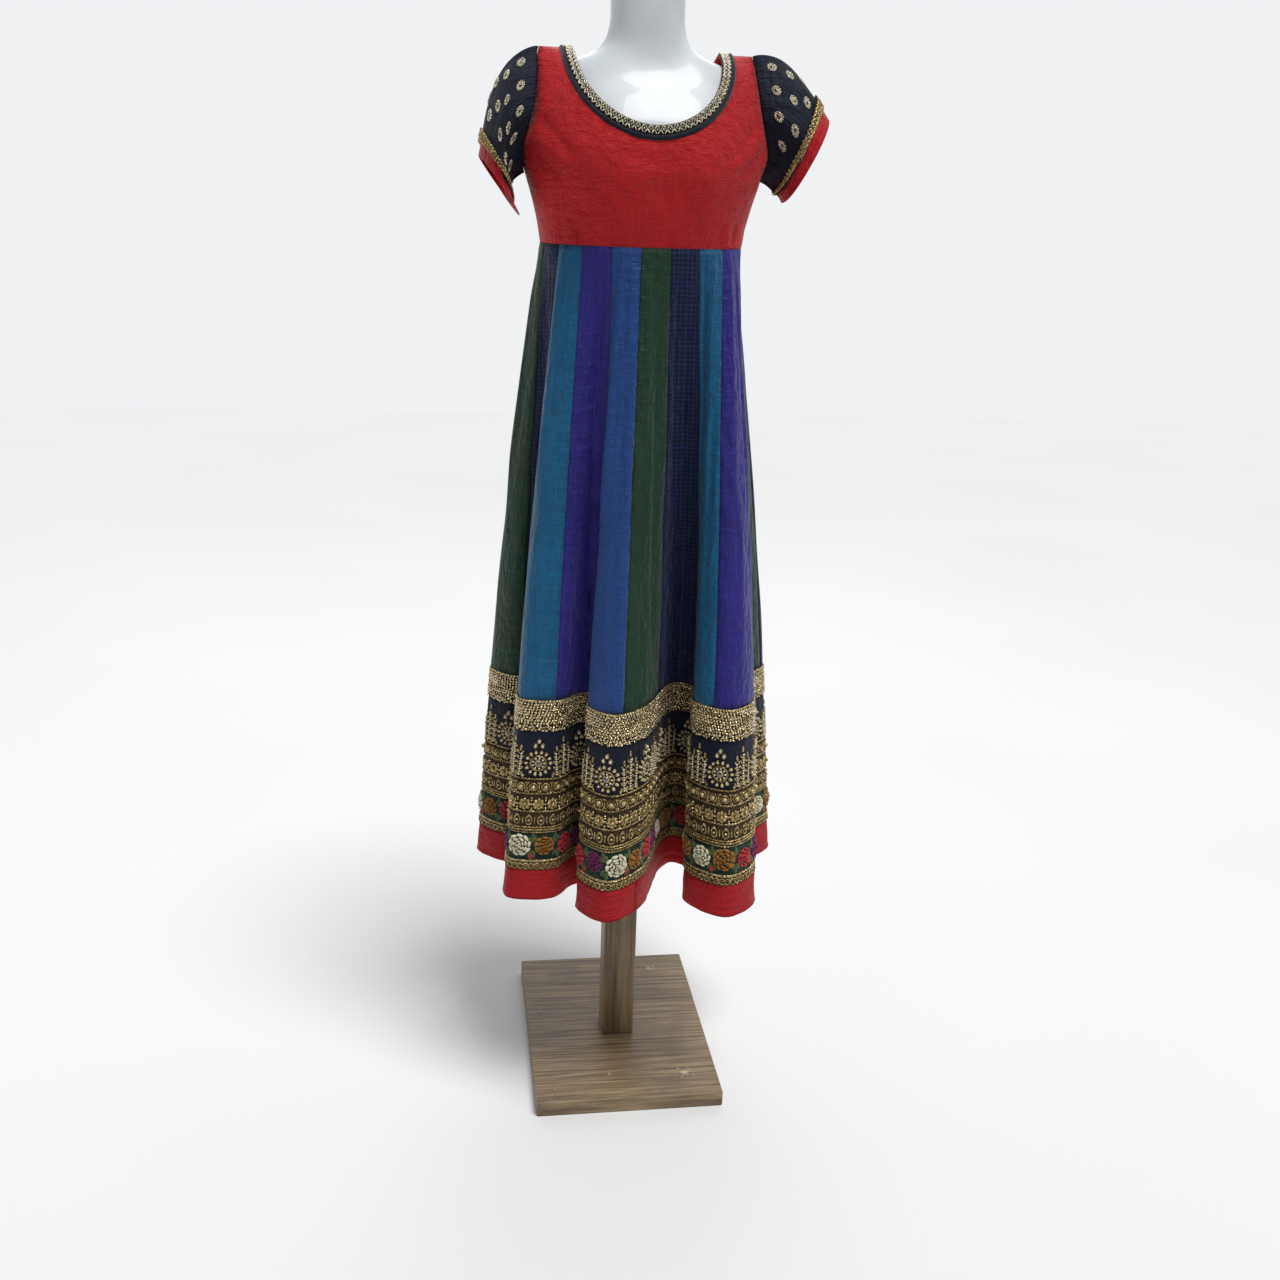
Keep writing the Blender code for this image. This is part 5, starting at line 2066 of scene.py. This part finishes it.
# ------------------------------------------------------------------ the studio
@dataclass
class Studio:
    """Pale floor, soft lights and the camera."""

    azimuth: float = -8.66
    distance: float = 2.013
    side_step: float = 0.019
    eye_height: float = 1.369
    tilt_down: float = 17.96
    roll: float = 2.0
    lens: float = 38.39

    def camera(self) -> None:
        """Sets the camera at a standing visitor's eye, tilted down a little."""
        data = bpy.data.cameras.new("camera")
        data.sensor_width = 36.0
        data.lens = self.lens
        data.clip_start = 0.05
        camera = bpy.data.objects.new("camera", data)
        bpy.context.scene.collection.objects.link(camera)
        turn = math.radians(self.azimuth)
        x = self.side_step * math.cos(turn) + self.distance * math.sin(turn)
        y = self.side_step * math.sin(turn) - self.distance * math.cos(turn)
        camera.location = (x, y, self.eye_height)
        from_above = math.radians(90.0 - self.tilt_down)
        aim = (Matrix.Rotation(turn, 3, "Z") @ Matrix.Rotation(from_above, 3, "X")
               @ Matrix.Rotation(math.radians(self.roll), 3, "Z"))
        camera.rotation_euler = aim.to_euler()
        bpy.context.scene.camera = camera

    def world(self) -> None:
        """Pale light all round, brightest behind the gown, as from a lit backdrop."""
        bpy.context.scene.view_settings.view_transform = "Standard"
        world = bpy.data.worlds.new("studio")
        bpy.context.scene.world = world
        world.use_nodes = True
        tree = world.node_tree
        place = tree.nodes.new("ShaderNodeTexCoord")
        split = tree.nodes.new("ShaderNodeSeparateXYZ")
        spread = tree.nodes.new("ShaderNodeMapRange")
        spread.interpolation_type = "SMOOTHSTEP"
        for name, value in (("From Min", -0.2), ("From Max", 0.8), ("To Min", 0.12),
                            ("To Max", 0.90)):
            spread.inputs[name].default_value = value
        back = tree.nodes["Background"]
        back.inputs["Color"].default_value = (0.97, 0.98, 1.0, 1.0)
        tree.links.new(place.outputs["Generated"], split.inputs[0])
        tree.links.new(split.outputs["Y"], spread.inputs["Value"])
        tree.links.new(spread.outputs["Result"], back.inputs["Strength"])

    def lamp(self, name: str, place: tuple[float, float, float], size: float, power: float,
             colour: tuple[float, float, float]) -> None:
        """A soft square light aimed at the gown's middle.

        Args:
            name: its name.
            place: where it stands.
            size: its side.
            power: watts.
            colour: its colour.
        """
        data = bpy.data.lights.new(name, "AREA")
        data.size = size
        data.energy = power
        data.color = colour
        lamp = bpy.data.objects.new(name, data)
        bpy.context.scene.collection.objects.link(lamp)
        lamp.location = place
        aim = Vector((0.05, -0.05, 0.95)) - lamp.location
        lamp.rotation_euler = aim.to_track_quat("-Z", "Y").to_euler()

    def sun(self, name: str, place: tuple[float, float, float], power: float,
            spread: float) -> None:
        """A broad soft light that falls evenly on the gown and the floor.

        Args:
            name: its name.
            place: the side it shines from.
            power: its strength.
            spread: its width in degrees.
        """
        data = bpy.data.lights.new(name, "SUN")
        data.energy = power
        data.angle = math.radians(spread)
        lamp = bpy.data.objects.new(name, data)
        bpy.context.scene.collection.objects.link(lamp)
        lamp.location = place
        lamp.rotation_euler = (-lamp.location).to_track_quat("-Z", "Y").to_euler()

    def build(self) -> None:
        """Makes the floor, the world's light, the lamps and the camera."""
        deselect()
        bpy.ops.mesh.primitive_plane_add(size=14.0, location=(0.0, 0.0, -0.0005))
        floor = bpy.context.object
        floor.name = "studio_floor"
        g = Graph("studio_floor")
        tone = g.noise(g.mapped("Object", (1.0, 1.0, 1.0)), 1.2, 1.0)
        colour = g.ramp(tone, ((0.3, (0.76, 0.76, 0.76)), (0.7, (0.78, 0.78, 0.78))))
        floor.data.materials.append(g.finish(colour, None, 0.8))
        self.world()
        self.sun("key", (0.75, -1.0, 3.2), 2.6, 24.0)
        self.lamp("fill", (-2.6, -1.6, 1.9), 1.6, 3.0, (0.95, 0.97, 1.0))
        self.lamp("back", (0.4, 2.2, 2.9), 1.4, 16.0, (1.0, 1.0, 1.0))
        self.camera()


def main() -> None:
    """Builds the gown, its form and the studio."""
    logging.basicConfig(level=logging.INFO, format="%(name)s: %(message)s")
    Studio().build()
    skirt = skirt_patch()
    Skirt(skirt).build()
    Border(skirt).build()
    Bodice().build()
    Sleeve("right", 1.0, (0.224, -0.026, 1.424), 27.0, 0.063, 0.050, 0.006).build()
    Sleeve("left", -1.0, (-0.200, -0.014, 1.378), 37.0, 0.047, 0.064, 0.018).build()
    DressForm().build()


if __name__ == "__main__":
    main()
